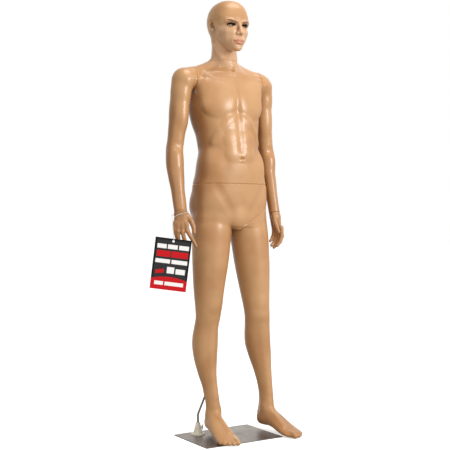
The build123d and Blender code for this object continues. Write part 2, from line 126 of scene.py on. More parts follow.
SKY_LOBES = [                        # direction, dot product at its start and end, strength at each
    ((0, 0, 1), -0.3, 0.9, 0.06, 0.50),
    ((0.85, -0.5, 0.2), -0.2, 1.0, 0.0, 0.60),
    ((-0.30, -0.95, 0.05), 0.1, 1.0, 0.0, 0.48),
    ((-0.95, 0.30, -0.15), 0.2, 1.0, 0.0, 0.22),
    ((0.35, 0.93, 0.05), 0.6, 1.0, 0.0, 0.90),
]


def make_studio():
    bpy.context.scene.view_settings.view_transform = "Standard"
    soft_sky()
    area_light("key", (1.25, -2.9, 1.95), (0, 0, 1.2), (1.2, 0.95), 50, (1.0, 0.97, 0.93))
    area_light("top", (0.35, -0.5, 3.5), (0.05, 0, 1.4), (1.5, 1.0), 22, (1.0, 0.98, 0.95))
    area_light("front_fill", (-2.2, -2.6, 1.55), (0, 0, 1.5), (0.9, 1.3), 11, (1.0, 0.96, 0.93), False)
    area_light("low_fill", (-2.6, 0.2, 0.45), (0, 0, 0.45), (0.8, 0.8), 7, (1.0, 0.96, 0.93), False)
    bpy.ops.mesh.primitive_plane_add(size=80, location=(0, 0, 0))
    floor = bpy.context.object
    floor.name = "floor"
    floor.data.materials.append(glow("floor_paper", (1, 1, 1, 1), 0.52, reflects=0.85))
    bpy.ops.mesh.primitive_uv_sphere_add(radius=38, segments=48, ring_count=24, location=(0, 0, 0))
    backdrop = bpy.context.object
    backdrop.name = "backdrop"
    backdrop.data.materials.append(glow("backdrop_white", (1, 1, 1, 1), 1.0))
    for stage in (floor, backdrop):
        stage.visible_diffuse = stage.visible_glossy = stage.visible_transmission = False
    backdrop.visible_shadow = False


make_camera()
make_studio()


# ======================================================================= clay
def smooth_min(a, b, blend):
    """The lesser of two distances, rounded over where they meet."""
    if np.isscalar(blend) and blend <= 0:
        return np.minimum(a, b)
    share = np.clip(0.5 + 0.5 * (b - a) / blend, 0, 1)
    return b * (1 - share) + a * share - blend * share * (1 - share)


def curve_through(places, values, at):
    """A smooth curve through the rows' values, held level past the ends."""
    slopes = np.gradient(values, places)
    at = np.clip(at, places[0], places[-1])
    row = np.clip(np.searchsorted(places, at) - 1, 0, len(places) - 2)
    length = places[row + 1] - places[row]
    t = (at - places[row]) / length
    start, end = values[row], values[row + 1]
    return (start * (1 + 2 * t) * (1 - t) ** 2 + slopes[row] * length * t * (1 - t) ** 2
            + end * t * t * (3 - 2 * t) + slopes[row + 1] * length * t * t * (t - 1))


def ball(centre, radii, turn=(0, 0, 0), power=2.0):
    """An ellipsoid, squarer as power rises, turned by Euler degrees.  Every form is its low corner,
    high corner and distance."""
    centre, radii = np.array(centre, float), np.array(radii, float)
    frame_axes = np.array(Euler([math.radians(angle) for angle in turn]).to_matrix())
    reach = np.sqrt(((frame_axes * radii) ** 2).sum(axis=1)) * (1.25 if power > 2 else 1)

    def distance(x, y, z):
        offsets = (x - centre[0], y - centre[1], z - centre[2])
        unit = [np.abs(sum(frame_axes[i][j] * offsets[i] for i in range(3))) / radii[j] + 1e-6
                for j in range(3)]
        near = sum(u ** power for u in unit) ** (1 / power)
        steep = np.sqrt(sum((u ** (power - 1) / r) ** 2 for u, r in zip(unit, radii)))
        return (near - 1) * near ** (power - 1) / steep

    return centre - reach, centre + reach, distance


def bones(points, radii):
    """Round rods from point to point, with a radius at each point."""
    points = np.array(points, float)
    if np.isscalar(radii):
        radii = [radii] * len(points)

    def distance(x, y, z):
        nearest = None
        for a, b, radius_a, radius_b in zip(points, points[1:], radii, radii[1:]):
            run = b - a
            t = ((x - a[0]) * run[0] + (y - a[1]) * run[1] + (z - a[2]) * run[2]) / (run @ run)
            t = np.clip(t, 0, 1)
            gap = np.sqrt((x - a[0] - t * run[0]) ** 2 + (y - a[1] - t * run[1]) ** 2
                          + (z - a[2] - t * run[2]) ** 2) - (radius_a + t * (radius_b - radius_a))
            nearest = gap if nearest is None else np.minimum(nearest, gap)
        return nearest

    return points.min(axis=0) - max(radii), points.max(axis=0) + max(radii), distance


def sheath(rows, along="z", end_blend=6.0):
    """A tube of squared ovals.  A row is its place, two centres, half width, depth before and behind,
    and squareness; the depth runs along Y in an upright tube and along Z in one that lies along Y."""
    table = np.array(sorted(rows), float)
    places = table[:, 0]
    width = table[:, 3].max()
    side_low, side_high = (table[:, 1] - table[:, 3]).min(), (table[:, 1] + table[:, 3]).max()
    deep_low, deep_high = (table[:, 2] - table[:, 4]).min(), (table[:, 2] + table[:, 5]).max()

    def distance(x, y, z):
        at, deep = (z, y) if along == "z" else (y, z)
        centre, middle, half, before, behind, power = [
            curve_through(places, table[:, column], at) for column in range(1, 7)]
        across = np.abs(x - centre) / half
        depth = deep - middle
        depth = np.where(depth < 0, -depth / before, depth / behind)
        ring = (across ** power + depth ** power) ** (1 / power)
        side = (ring - 1) * np.minimum(half, np.minimum(before, behind))
        ends = np.maximum(places[0] - at, at - places[-1])
        return -smooth_min(-side, -ends, end_blend)

    if along == "z":
        return (np.array([side_low, deep_low, places[0]]), np.array([side_high, deep_high, places[-1]]),
                distance)
    return np.array([side_low, places[0], deep_low]), np.array([side_high, places[-1], deep_high]), distance


def placed(form, origin, axes):
    """A form given in local directions; axes are the three local unit vectors, possibly mirrored."""
    low, high, local_distance = form
    origin, axes = np.array(origin, float), np.array(axes, float)
    corners = np.array([[(low, high)[i][0], (low, high)[j][1], (low, high)[k][2]]
                        for i in (0, 1) for j in (0, 1) for k in (0, 1)]) @ axes + origin

    def distance(x, y, z):
        offsets = (x - origin[0], y - origin[1], z - origin[2])
        return local_distance(*[sum(axis[i] * offsets[i] for i in range(3)) for axis in axes])

    return corners.min(axis=0), corners.max(axis=0), distance


class Clay:
    """A block of space sampled on a regular grid, modelled by adding and cutting forms."""

    def __init__(self, low, high, step):
        self.low, self.step = np.array(low, float), step
        self.axes = [np.arange(a, b + step, step) for a, b in zip(low, high)]
        self.field = np.full([len(axis) for axis in self.axes], 500.0, np.float32)

    def window(self, low, high, margin):
        spans = [slice(*np.searchsorted(axis, (a - margin, b + margin)))
                 for axis, a, b in zip(self.axes, low, high)]
        grid = np.meshgrid(*[axis[span] for axis, span in zip(self.axes, spans)],
                           indexing="ij", sparse=True)
        return tuple(spans), grid, all(span.stop > span.start for span in spans)

    def add(self, form, blend=0.0):
        spans, grid, inside = self.window(form[0], form[1], blend + 3 * self.step)
        if inside:
            self.field[spans] = smooth_min(self.field[spans], form[2](*grid), blend)

    def cut(self, form, blend=0.0):
        spans, grid, inside = self.window(form[0], form[1], blend + 3 * self.step)
        if inside:
            self.field[spans] = -smooth_min(-self.field[spans], form[2](*grid), blend)

    def join(self, other, blend):
        """Joins another clay of the same block; blend may vary over the grid."""
        self.field = smooth_min(self.field, other.field, blend).astype(np.float32)

    def clear_below(self, height, fade=10.0):
        """Empties the clay under a height, over a short fade."""
        self.field += 60 * np.clip((height - self.axes[2]) / fade, 0, 1).astype(np.float32)

    def like(self):
        """An empty clay on the same grid."""
        twin = Clay.__new__(Clay)
        twin.low, twin.step, twin.axes = self.low, self.step, self.axes
        twin.field = np.full_like(self.field, 500.0)
        return twin


CELL_CORNERS = np.array([[i, j, k] for i in (0, 1) for j in (0, 1) for k in (0, 1)])
CELL_EDGES = [(a, b) for a in range(8) for b in range(a + 1, 8)
              if np.abs(CELL_CORNERS[a] - CELL_CORNERS[b]).sum() == 1]


def skin_of(clay):
    """Vertices and quads of the clay's surface, one vertex in each cell that it passes through."""
    field = clay.field
    inside = field < 0
    span = np.array(field.shape) - 1
    filled = sum(inside[i:i + span[0], j:j + span[1], k:k + span[2]].astype(np.uint8)
                 for i, j, k in CELL_CORNERS)
    active = (filled > 0) & (filled < 8)
    cells = np.argwhere(active)
    index = np.full(active.shape, -1, np.int64)
    index[active] = np.arange(len(cells))
    total, number = np.zeros((len(cells), 3)), np.zeros(len(cells))
    for a, b in CELL_EDGES:
        at_a, at_b = cells + CELL_CORNERS[a], cells + CELL_CORNERS[b]
        value_a, value_b = field[tuple(at_a.T)], field[tuple(at_b.T)]
        crossed = (value_a < 0) != (value_b < 0)
        share = np.where(crossed, value_a / np.where(crossed, value_a - value_b, 1), 0)
        total += crossed[:, None] * (CELL_CORNERS[a] + share[:, None] * (CELL_CORNERS[b] - CELL_CORNERS[a]))
        number += crossed
    points = (cells + total / number[:, None]) * clay.step + clay.low
    quads = []
    for axis in range(3):
        first, second = (axis + 1) % 3, (axis + 2) % 3
        lower = np.take(inside, range(span[axis]), axis=axis)
        upper = np.take(inside, range(1, span[axis] + 1), axis=axis)
        edges = np.argwhere(lower != upper)
        edges = edges[(edges[:, first] > 0) & (edges[:, second] > 0)]
        edges = edges[(edges[:, first] < span[first]) & (edges[:, second] < span[second])]
        step_first, step_second = np.eye(3, dtype=int)[first], np.eye(3, dtype=int)[second]
        ring = [index[tuple((edges - offset).T)] for offset in
                (step_first + step_second, step_second, 0 * step_first, step_first)]
        quad = np.stack(ring, axis=1)
        outward = lower[tuple(edges.T)]
        quads.append(np.where(outward[:, None], quad, quad[:, ::-1]))
    return points, np.concatenate(quads)


def field_at(clay, points):
    """The clay's distance at points between the grid's."""
    spot = (points - clay.low) / clay.step
    base = np.clip(np.floor(spot).astype(int), 0, np.array(clay.field.shape) - 2)
    part = spot - base
    value = np.zeros(len(points))
    for corner in CELL_CORNERS:
        weight = np.prod(np.where(corner, part, 1 - part), axis=1)
        value += weight * clay.field[tuple((base + corner).T)]
    return value


def smooth_skin(clay, rounds=3):
    """The skin, evened out and drawn back on to the clay's surface."""
    points, quads = skin_of(clay)
    edges = np.concatenate([quads[:, [i, (i + 1) % 4]] for i in range(4)])
    edges = np.unique(np.sort(edges, axis=1), axis=0)
    degree = np.bincount(edges.ravel(), minlength=len(points))[:, None]
    small = 0.5 * clay.step
    for _ in range(rounds):
        total = np.zeros_like(points)
        for i in range(3):
            total[:, i] = (np.bincount(edges[:, 0], points[edges[:, 1], i], len(points))
                           + np.bincount(edges[:, 1], points[edges[:, 0], i], len(points)))
        points = 0.4 * points + 0.6 * total / degree
        for _ in range(2):
            value = field_at(clay, points)
            slope = np.stack([field_at(clay, points + small * axis) - field_at(clay, points - small * axis)
                              for axis in np.eye(3)], axis=1) / (2 * small)
            move = value[:, None] * slope / np.maximum((slope ** 2).sum(axis=1), 0.05)[:, None]
            points -= np.clip(move, -0.5 * clay.step, 0.5 * clay.step)
    return points, quads


# ======================================================================= seams, in millimetres
HEAD_MIDDLE = 15
NECK = (HEAD_MIDDLE, 57, 1596)
WAIST_HEIGHT = 1069
SHOULDER_SEAMS = {-1: -147, 1: 177}
CROTCH = (32, 34, 883)
HIP_SLOPE = math.radians(30)
WRISTS = {-1: (-236, -6, 955), 1: (246, 8, 950)}
FOREARM_TILT = math.radians(14)
FOREARM_UP = Vector((0, math.sin(FOREARM_TILT), math.cos(FOREARM_TILT)))
HIP_NORMAL = Vector((-math.sin(HIP_SLOPE), 0, math.cos(HIP_SLOPE)))
SOLE_HEIGHT = 3
MOVING_GAP = 0.5


# ======================================================================= the figure's forms
TRUNK = [                            # height, centre x, centre y, half width, front, back, squareness
    (1668, 15, 60, 45, 43, 47, 2.0),
    (1630, 15, 60, 52, 51, 54, 2.0),
    (1596, 15, 57, 57, 55, 58, 2.0),
    (1580, 15, 57, 65, 56, 62, 2.0),
    (1566, 15, 57, 83, 58, 68, 2.0),
    (1550, 15, 56, 108, 62, 74, 2.1),
    (1528, 15, 55, 134, 71, 86, 2.3),
    (1498, 15, 54, 147, 83, 97, 2.5),
    (1460, 15, 53, 151, 92, 105, 2.6),
    (1420, 15, 52, 152, 96, 108, 2.7),
    (1380, 16, 51, 151, 98, 107, 2.7),
    (1340, 18, 49, 147, 99, 102, 2.6),
    (1290, 20, 47, 140, 103, 95, 2.5),
    (1240, 22, 45, 134, 107, 89, 2.4),
    (1199, 24, 44, 131, 111, 92, 2.3),
    (1150, 27, 43, 141, 113, 94, 2.3),
    (1110, 30, 42, 155, 111, 99, 2.3),
    (1069, 32, 41, 168, 107, 105, 2.3),
    (1030, 33, 40, 172, 103, 106, 2.3),
    (980, 33, 38, 171, 96, 110, 2.3),
    (930, 33, 36, 162, 83, 104, 2.2),
    (895, 33, 34, 146, 74, 92, 2.0),
]


class Surface:
    """Places given by their offset from a sheath's own middle and their depth under its skin."""

    def __init__(self, rows):
        table = np.array(sorted(rows), float)
        self.places, self.columns = table[:, 0], table[:, 1:].T

    def row(self, height):
        return [float(curve_through(self.places, column, height)) for column in self.columns]

    def middle(self, height):
        return self.row(height)[:2]

    def front(self, u, depth, height):
        centre, middle, half, before, _, power = self.row(height)
        share = min(abs(u) / half, 0.98)
        return (centre + u, middle - before * (1 - share ** power) ** (1 / power) + depth, height)

    def back(self, u, depth, height):
        centre, middle, half, _, behind, power = self.row(height)
        share = min(abs(u) / half, 0.98)
        return (centre + u, middle + behind * (1 - share ** power) ** (1 / power) - depth, height)


def trunk(clay):
    """Neck, chest, belly and hips."""
    body = Surface(TRUNK)
    clay.add(sheath(TRUNK, end_blend=24))
    for side in (-1, 1):
        def at(u, y, z):
            return (body.middle(z)[0] + side * u, y, z)

        def front(u, depth, z):
            return body.front(side * u, depth, z)

        def back(u, depth, z):
            return body.back(side * u, depth, z)

        # slope from the neck to the shoulder, and the side of the chest
        clay.add(bones([at(34, 70, 1590), at(90, 62, 1556), at(150, 52, 1528)], (24, 29, 34)), 22)
        clay.add(ball(at(112, 72, 1400), (43, 56, 116), (0, side * 4, 0)), 18)
        # chest muscle and its fill towards the shoulder
        clay.add(ball(front(72, 20, 1418), (78, 28, 76), (-9, side * -12, side * 16), 2.3), 12)
        clay.add(ball(front(118, 24, 1470), (38, 28, 46)), 24)
        # collarbone, and the cord of the neck above it
        clay.add(bones([front(18, 7, 1540), front(52, 8, 1537), front(84, 10, 1534), front(108, 13, 1531)],
                       (7, 7, 7, 6)), 24)
        clay.add(bones([front(9, 9, 1532), (15 + side * 20, 14, 1575), (15 + side * 34, 26, 1612),
                        (15 + side * 47, 56, 1655)], (6, 7, 8, 9)), 16)
        # shoulder blade, and the muscle beside the spine
        clay.add(ball(back(70, 19, 1440), (56, 24, 78), (0, side * -8, 0)), 30)
        clay.add(bones([back(29, 18, 1110), back(28, 17, 1210), back(34, 18, 1330)], (21, 21, 20)), 22)
        # three pairs of belly muscles, and the arch of the ribs beside them
        for height, depth, width, tall in ((1316, 12.5, 36, 33), (1252, 13, 35, 32), (1195, 15.5, 32, 28)):
            clay.add(ball(front(28, depth, height), (width, 14, tall), (0, 0, 0), 2.1), 22)
        clay.add(bones([front(20, 10, 1346), front(50, 9, 1330), front(84, 12, 1288), front(102, 16, 1242)],
                       (10, 10, 10, 9)), 20)
        # side of the waist, the fold above the thigh, and the seat
        clay.add(ball(at(100, 20, 1142), (44, 60, 70), (0, side * 10, 0)), 34)
        clay.cut(bones([front(122, -23, 1052), front(88, -24, 1000), front(46, -21, 945)], (14, 14, 11)), 24)
        clay.add(ball(at(78, 84, 985), (84, 72, 84)), 24)
        clay.add(ball(at(76, 112, 968), (70, 56, 74)), 20)
    # furrows of the breastbone and the belly, pit of the neck, navel and its lower lip
    breastbone = [body.front(0, -10, 1500), body.front(0, -18, 1430), body.front(0, -15, 1360)]
    clay.cut(bones(breastbone, (5, 7, 6)), 15)
    clay.cut(bones([body.front(0, -19, 1340), body.front(0, -19, 1260), body.front(0, -20, 1210)], 6), 24)
    clay.cut(ball((15, -10, 1560), (11, 11, 10)), 14)
    clay.cut(ball(body.front(0, -1, 1173), (8.5, 5, 4.5)), 7)
    clay.add(bones([body.front(-8, 3, 1165), body.front(0, 2, 1162), body.front(8, 3, 1165)], 3.2), 6)
    # furrow of the spine, cleft of the seat, and the front of the crotch
    clay.cut(bones([body.back(0, -7, 1500), body.back(0, -6, 1300), body.back(0, -11, 1120)], (7, 8, 6)), 26)
    clay.cut(bones([(33, 176, 1000), (33, 172, 940), (33, 140, 890)], (4, 7, 9)), 12)
    clay.add(ball((32, -24, 925), (42, 31, 50)), 26)


LEGS = {                             # height, centre x, centre y, half width, front, back, squareness
    -1: [
        (985, -40, 36, 50, 48, 60, 2.0),
        (940, -50, 35, 74, 64, 84, 2.0),
        (895, -56, 34, 84, 73, 93, 2.0),
        (820, -62, 34, 82, 76, 87, 2.0),
        (740, -67, 35, 77, 77, 78, 2.0),
        (660, -72, 37, 69, 71, 68, 2.0),
        (590, -74, 39, 62, 62, 58, 2.0),
        (540, -74, 41, 56, 57, 50, 2.1),
        (505, -75, 43, 52, 54, 50, 2.1),
        (465, -78, 50, 51, 50, 54, 2.1),
        (420, -79, 56, 54, 49, 59, 2.1),
        (385, -78, 59, 54, 48, 61, 2.1),
        (330, -75, 61, 49, 45, 55, 2.1),
        (260, -68, 58, 39, 40, 43, 2.0),
        (205, -59, 52, 32, 36, 35, 2.0),
        (165, -54, 49, 31, 36, 33, 2.0),
        (125, -50, 46, 31, 38, 34, 2.0),
        (85, -48, 44, 31, 40, 36, 2.0),
        (60, -47, 44, 28, 38, 36, 2.0),
    ],
    1: [
        (1005, 104, 36, 50, 48, 60, 2.0),
        (950, 114, 34, 76, 66, 86, 2.0),
        (900, 121, 33, 85, 75, 94, 2.0),
        (820, 131, 30, 81, 79, 88, 2.0),
        (740, 137, 27, 76, 79, 80, 2.0),
        (660, 141, 20, 68, 74, 70, 2.0),
        (590, 145, 12, 62, 64, 60, 2.0),
        (540, 147, 6, 56, 58, 52, 2.1),
        (505, 149, 3, 54, 55, 51, 2.1),
        (465, 154, 8, 54, 51, 55, 2.1),
        (420, 160, 15, 55, 50, 60, 2.1),
        (385, 166, 20, 55, 49, 62, 2.1),
        (330, 177, 22, 49, 46, 55, 2.1),
        (260, 190, 20, 38, 41, 41, 2.0),
        (205, 198, 16, 32, 37, 34, 2.0),
        (165, 202, 14, 30, 37, 32, 2.0),
        (125, 204, 13, 30, 39, 33, 2.0),
        (90, 205, 12, 30, 40, 34, 2.0),
        (66, 205, 12, 27, 38, 34, 2.0),
    ],
}
ANKLES = {-1: (-51, 38, 0), 1: (205, 11, 0)}
TOES_OUT = {-1: math.radians(9.5), 1: math.radians(9)}
FOOT = [                             # forwards, centre inwards, centre height, half width, below, above
    (-47, 0, 54, 14, 18, 18, 2.0),
    (-36, 0, 54, 26, 28, 32, 2.0),
    (-10, -1, 58, 32, 36, 40, 2.1),
    (22, -3, 56, 35, 33, 42, 2.2),
    (62, -3, 45, 38, 28, 36, 2.2),
    (102, -1, 31, 42, 25, 28, 2.2),
    (142, 2, 19, 46, 18, 20, 2.2),
    (172, 3, 14, 44, 13, 14, 2.2),
    (190, 4, 12, 34, 10, 9, 2.2),
]
TOES = [                             # root and tip (inwards, forwards, height), radii
    ((25, 162, 16), (27, 202, 13.5), 13.5, 11.5),
    ((6, 166, 14.5), (8, 203, 11.5), 10.0, 8.4),
    ((-9, 162, 13.5), (-8, 195, 11), 9.4, 8.0),
    ((-22, 154, 13), (-22, 184, 10.5), 9.0, 7.6),
    ((-34, 143, 12.5), (-35, 170, 10), 8.8, 7.4),
]


def along_limb(rows, side):
    """A way to give places by their offsets to one side and backwards from a limb's own middle."""
    table = np.array(sorted(rows), float)

    def at(u, v, z):
        middle = [np.interp(z, table[:, 0], table[:, column]) for column in (1, 2)]
        return (middle[0] + side * u, middle[1] + v, z)

    return at


def leg(clay, side):
    """One leg from the hip to the toes; medial points to the other leg."""
    medial = -side
    at = along_limb(LEGS[side], medial)
    clay.add(sheath(LEGS[side], end_blend=36))
    # inner, outer and front thigh, the kneecap, the shin, and the hollow behind the knee
    clay.add(ball(at(22, -20, 600), (20, 24, 60)), 20)
    clay.add(ball(at(-32, -12, 690), (24, 36, 130)), 22)
    clay.add(ball(at(4, -34, 712), (34, 30, 140)), 22)
    clay.add(ball(at(2, -39, 562), (21, 16, 32)), 20)
    clay.add(bones([at(4, -34, 462), at(2, -35, 360), at(2, -29, 240), at(2, -24, 170)], (10, 9, 8, 7)), 20)
    clay.cut(ball(at(0, 68, 530), (16, 12, 50)), 24)
    spin = TOES_OUT[side]
    forwards = (side * math.sin(spin), -math.cos(spin), 0)
    inwards = (medial * math.cos(spin), -math.sin(spin), 0)
    local = (ANKLES[side], (inwards, forwards, (0, 0, 1)))
    clay.add(placed(sheath(FOOT, along="y"), *local), 16)
    for root, tip, root_radius, tip_radius in TOES:
        middle = [(a + b) / 2 for a, b in zip(root, tip)]
        middle[2] += 2.5
        toe = bones([root, middle, tip], (root_radius, (root_radius + tip_radius) / 2 - 0.4, tip_radius))
        clay.add(placed(toe, *local), 5)
    # ankle bones, heel cord with a hollow on each side, and the ridge to the big toe
    clay.add(placed(ball((17, 2, 108), (11, 14, 17)), *local), 18)
    clay.add(placed(ball((-17, -6, 98), (11, 13, 17)), *local), 18)
    clay.add(placed(bones([(0, -40, 78), (0, -33, 130), (0, -28, 200)], (12, 9, 12)), *local), 16)
    for ankle_side in (-1, 1):
        clay.cut(placed(ball((33 * ankle_side, -28, 128), (8, 10, 34)), *local), 16)
    clay.add(placed(bones([(4, 20, 96), (12, 70, 74), (20, 130, 38)], (9, 7, 6)), *local), 16)


ARMS = {                             # height, centre x, centre y, half width, front, back, squareness
    -1: [
        (1516, -188, 50, 44, 46, 48, 2.0),
        (1450, -198, 51, 42, 44, 45, 2.0),
        (1400, -205, 52, 40, 42, 43, 2.0),
        (1350, -210, 55, 39, 41, 42, 2.0),
        (1300, -215, 58, 37, 40, 40, 2.0),
        (1250, -220, 61, 35, 38, 39, 2.0),
        (1215, -225, 62, 35, 38, 39, 2.1),
        (1180, -228, 57, 36, 38, 38, 2.1),
        (1140, -231, 48, 36, 38, 37, 2.0),
        (1090, -233, 33, 33, 35, 34, 2.0),
        (1040, -234, 19, 28, 31, 30, 2.0),
        (990, -234, 5, 28, 28, 27, 2.0),
        (955, -235, -6, 27, 26, 26, 2.0),
        (925, -235, -14, 27, 26, 26, 2.0),
    ],
    1: [
        (1516, 203, 54, 44, 46, 48, 2.0),
        (1450, 212, 59, 41, 43, 44, 2.0),
        (1400, 217, 62, 40, 42, 43, 2.0),
        (1350, 222, 65, 39, 41, 42, 2.0),
        (1300, 228, 68, 37, 40, 40, 2.0),
        (1250, 235, 70, 35, 38, 39, 2.0),
        (1215, 239, 70, 35, 38, 39, 2.1),
        (1180, 240, 65, 33, 37, 38, 2.1),
        (1140, 241, 58, 32, 36, 36, 2.0),
        (1090, 242, 44, 29, 33, 33, 2.0),
        (1040, 242, 31, 26, 30, 29, 2.0),
        (990, 243, 18, 24, 27, 26, 2.0),
        (950, 244, 8, 24, 25, 25, 2.0),
        (920, 244, 0, 24, 25, 25, 2.0),
    ],
}


FOREARM_THICKNESS = {-1: 31, 1: 27}


def arm(clay, side):
    """One arm from the shoulder to past the wrist."""
    at = along_limb(ARMS[side], side)
    clay.add(sheath(ARMS[side], end_blend=20))
    # cap and side of the shoulder, then the front and back of the upper arm
    clay.add(ball(at(0, 0, 1501), (47, 50, 51), (0, side * 18, 0)), 12)
    clay.add(ball(at(9, 0, 1450), (36, 42, 66)), 12)
    clay.add(ball(at(-2, -17, 1352), (30, 29, 72)), 12)
    clay.add(ball(at(1, 17, 1370), (32, 29, 86)), 12)
    # forearm, elbow, and the crook in front of it
    thick = FOREARM_THICKNESS[side]
    clay.add(ball(at(5, -10, 1170), (thick, 31, 60)), 12)
    clay.add(ball(at(-5, 6, 1140), (thick - 2, 31, 72)), 12)
    clay.add(ball(at(2, 30, 1218), (12, 12, 16)), 14)
    clay.cut(ball(at(4, -50, 1222), (18, 10, 16)), 16)


PALM_TURN = {-1: math.radians(-32), 1: math.radians(-80)}
WRIST_SIZE = {-1: 27, 1: 24}         # half widths where the hands meet the forearms
PALM = [                             # height, across, outwards, half width, palm side, back, squareness
    (-14, 1, 1, 27, 22, 22, 2.1),
    (-32, 2, 3, 27, 17, 17, 2.3),
    (-55, 3, 6, 27, 14, 13, 2.4),
    (-72, 4, 8, 26, 10, 9, 2.4),
]
DIGITS = {                           # joints of each finger, then of the thumb, with their radii
    -1: [
        ([(24, 7, -52), (30, 9, -84), (43, 6, -107), (57, 1, -131), (65, -2, -146)], (10, 9.2, 8.4, 7.4, 6)),
        ([(8, 8, -54), (10, 10, -88), (16, 7, -114), (24, 1, -140), (29, -4, -154)], (10, 9.2, 8.4, 7.4, 6)),
        ([(-7, 8, -52), (-9, 9, -84), (-8, 5, -110), (-4, -1, -134), (-1, -5, -146)], (9.6, 8.8, 8, 7, 5.8)),
        ([(-19, 5, -48), (-21, 6, -76), (-18, 3, -98), (-14, -1, -114), (-11, -4, -124)],
         (8.6, 7.8, 7, 6.2, 5.2)),
        ([(20, -5, -14), (43, -5, -40), (54, -2, -66), (57, 2, -90)], (14, 11, 9.8, 7.4)),
    ],
    1: [
        ([(32, 7, -66), (36, 8, -102), (36, -2, -127), (33, -17, -144)], (10, 9, 8, 6.4)),
        ([(18, 8, -70), (20, 8, -108), (19, -4, -136), (16, -21, -152)], (10, 9, 8, 6.5)),
        ([(4, 7, -68), (5, 6, -104), (5, -8, -130), (4, -24, -143)], (9.6, 8.6, 7.8, 6.3)),
        ([(-9, 4, -62), (-8, 1, -94), (-6, -11, -114), (-4, -24, -124)], (8.8, 7.8, 7, 5.7)),
        ([(8, -13, -8), (22, -19, -42), (33, -17, -66), (38, -13, -84)], (12, 10.5, 9.2, 7)),
    ],
}


def hand_axes(side):
    """Across to the thumb, out of the back of the hand, and up."""
    turn = PALM_TURN[side]
    across = (math.cos(turn), math.sin(turn), 0)
    outward = (-side * math.sin(turn), side * math.cos(turn), 0)
    return (across, outward, (0, 0, 1))


def hand(clay, side):
    """One hand, with the end of its forearm."""
    local = (WRISTS[side], hand_axes(side))
    size = WRIST_SIZE[side]
    wrist = [(height, side * -1.5, 0, size, size - 1, size - 1, 2.0) for height in (24, 0)]
    clay.add(placed(sheath(wrist + PALM, end_blend=8), *local))
    for joints, radii in DIGITS[side]:
        clay.add(placed(bones(joints, radii), *local), 5)
    for joints, radii in DIGITS[side][:4]:
        root, knuckle = joints[0], joints[1]
        clay.add(placed(ball((root[0], root[1] + 3, root[2] - 4), (7, 7, 10)), *local), 7)
        clay.add(placed(ball((knuckle[0], knuckle[1] + 1, knuckle[2]), (radii[1], radii[1], 8)), *local), 3)


CRANIUM = (1757, 93, 81, 84, 103)    # height of its widest level, height above it, half width, front, back
CRANIUM_CENTRE = 25
CRANIUM_LEVELS = (0, 0.34, 0.6, 0.8, 0.91, 0.97, 0.995)
CRANIUM_SQUARENESS = 2.45
SKULL_BELOW = [
    (1600, 15, 58, 40, 40, 42, 2.0),
    (1640, 15, 60, 47, 46, 48, 2.0),
    (1680, 15, 58, 55, 56, 54, 2.0),
    (1702, 15, 51, 61, 62, 61, 2.1),
    (1728, 15, 38, 74, 76, 84, 2.2),
]
JAW = [
    (1742, 15, 20, 71, 79, 50, 2.3),
    (1716, 15, 16, 66, 76, 46, 2.4),
    (1696, 15, 11, 60, 71, 42, 2.5),
    (1676, 15, 2, 51, 64, 36, 2.5),
    (1658, 15, -8, 41, 54, 31, 2.5),
    (1645, 15, -18, 31, 44, 26, 2.5),
    (1636, 15, -27, 22, 33, 21, 2.4),
    (1630, 15, -34, 14, 23, 15, 2.2),
]
EYE = (32, -49.5, 1733.5)            # aside, forwards, height of each eyeball's middle
EYE_RADIUS = 13


def aside_of(middle, side):
    """A way to give places by how far they are aside of the middle."""
    return lambda u, y, z: (middle + side * u, y, z)


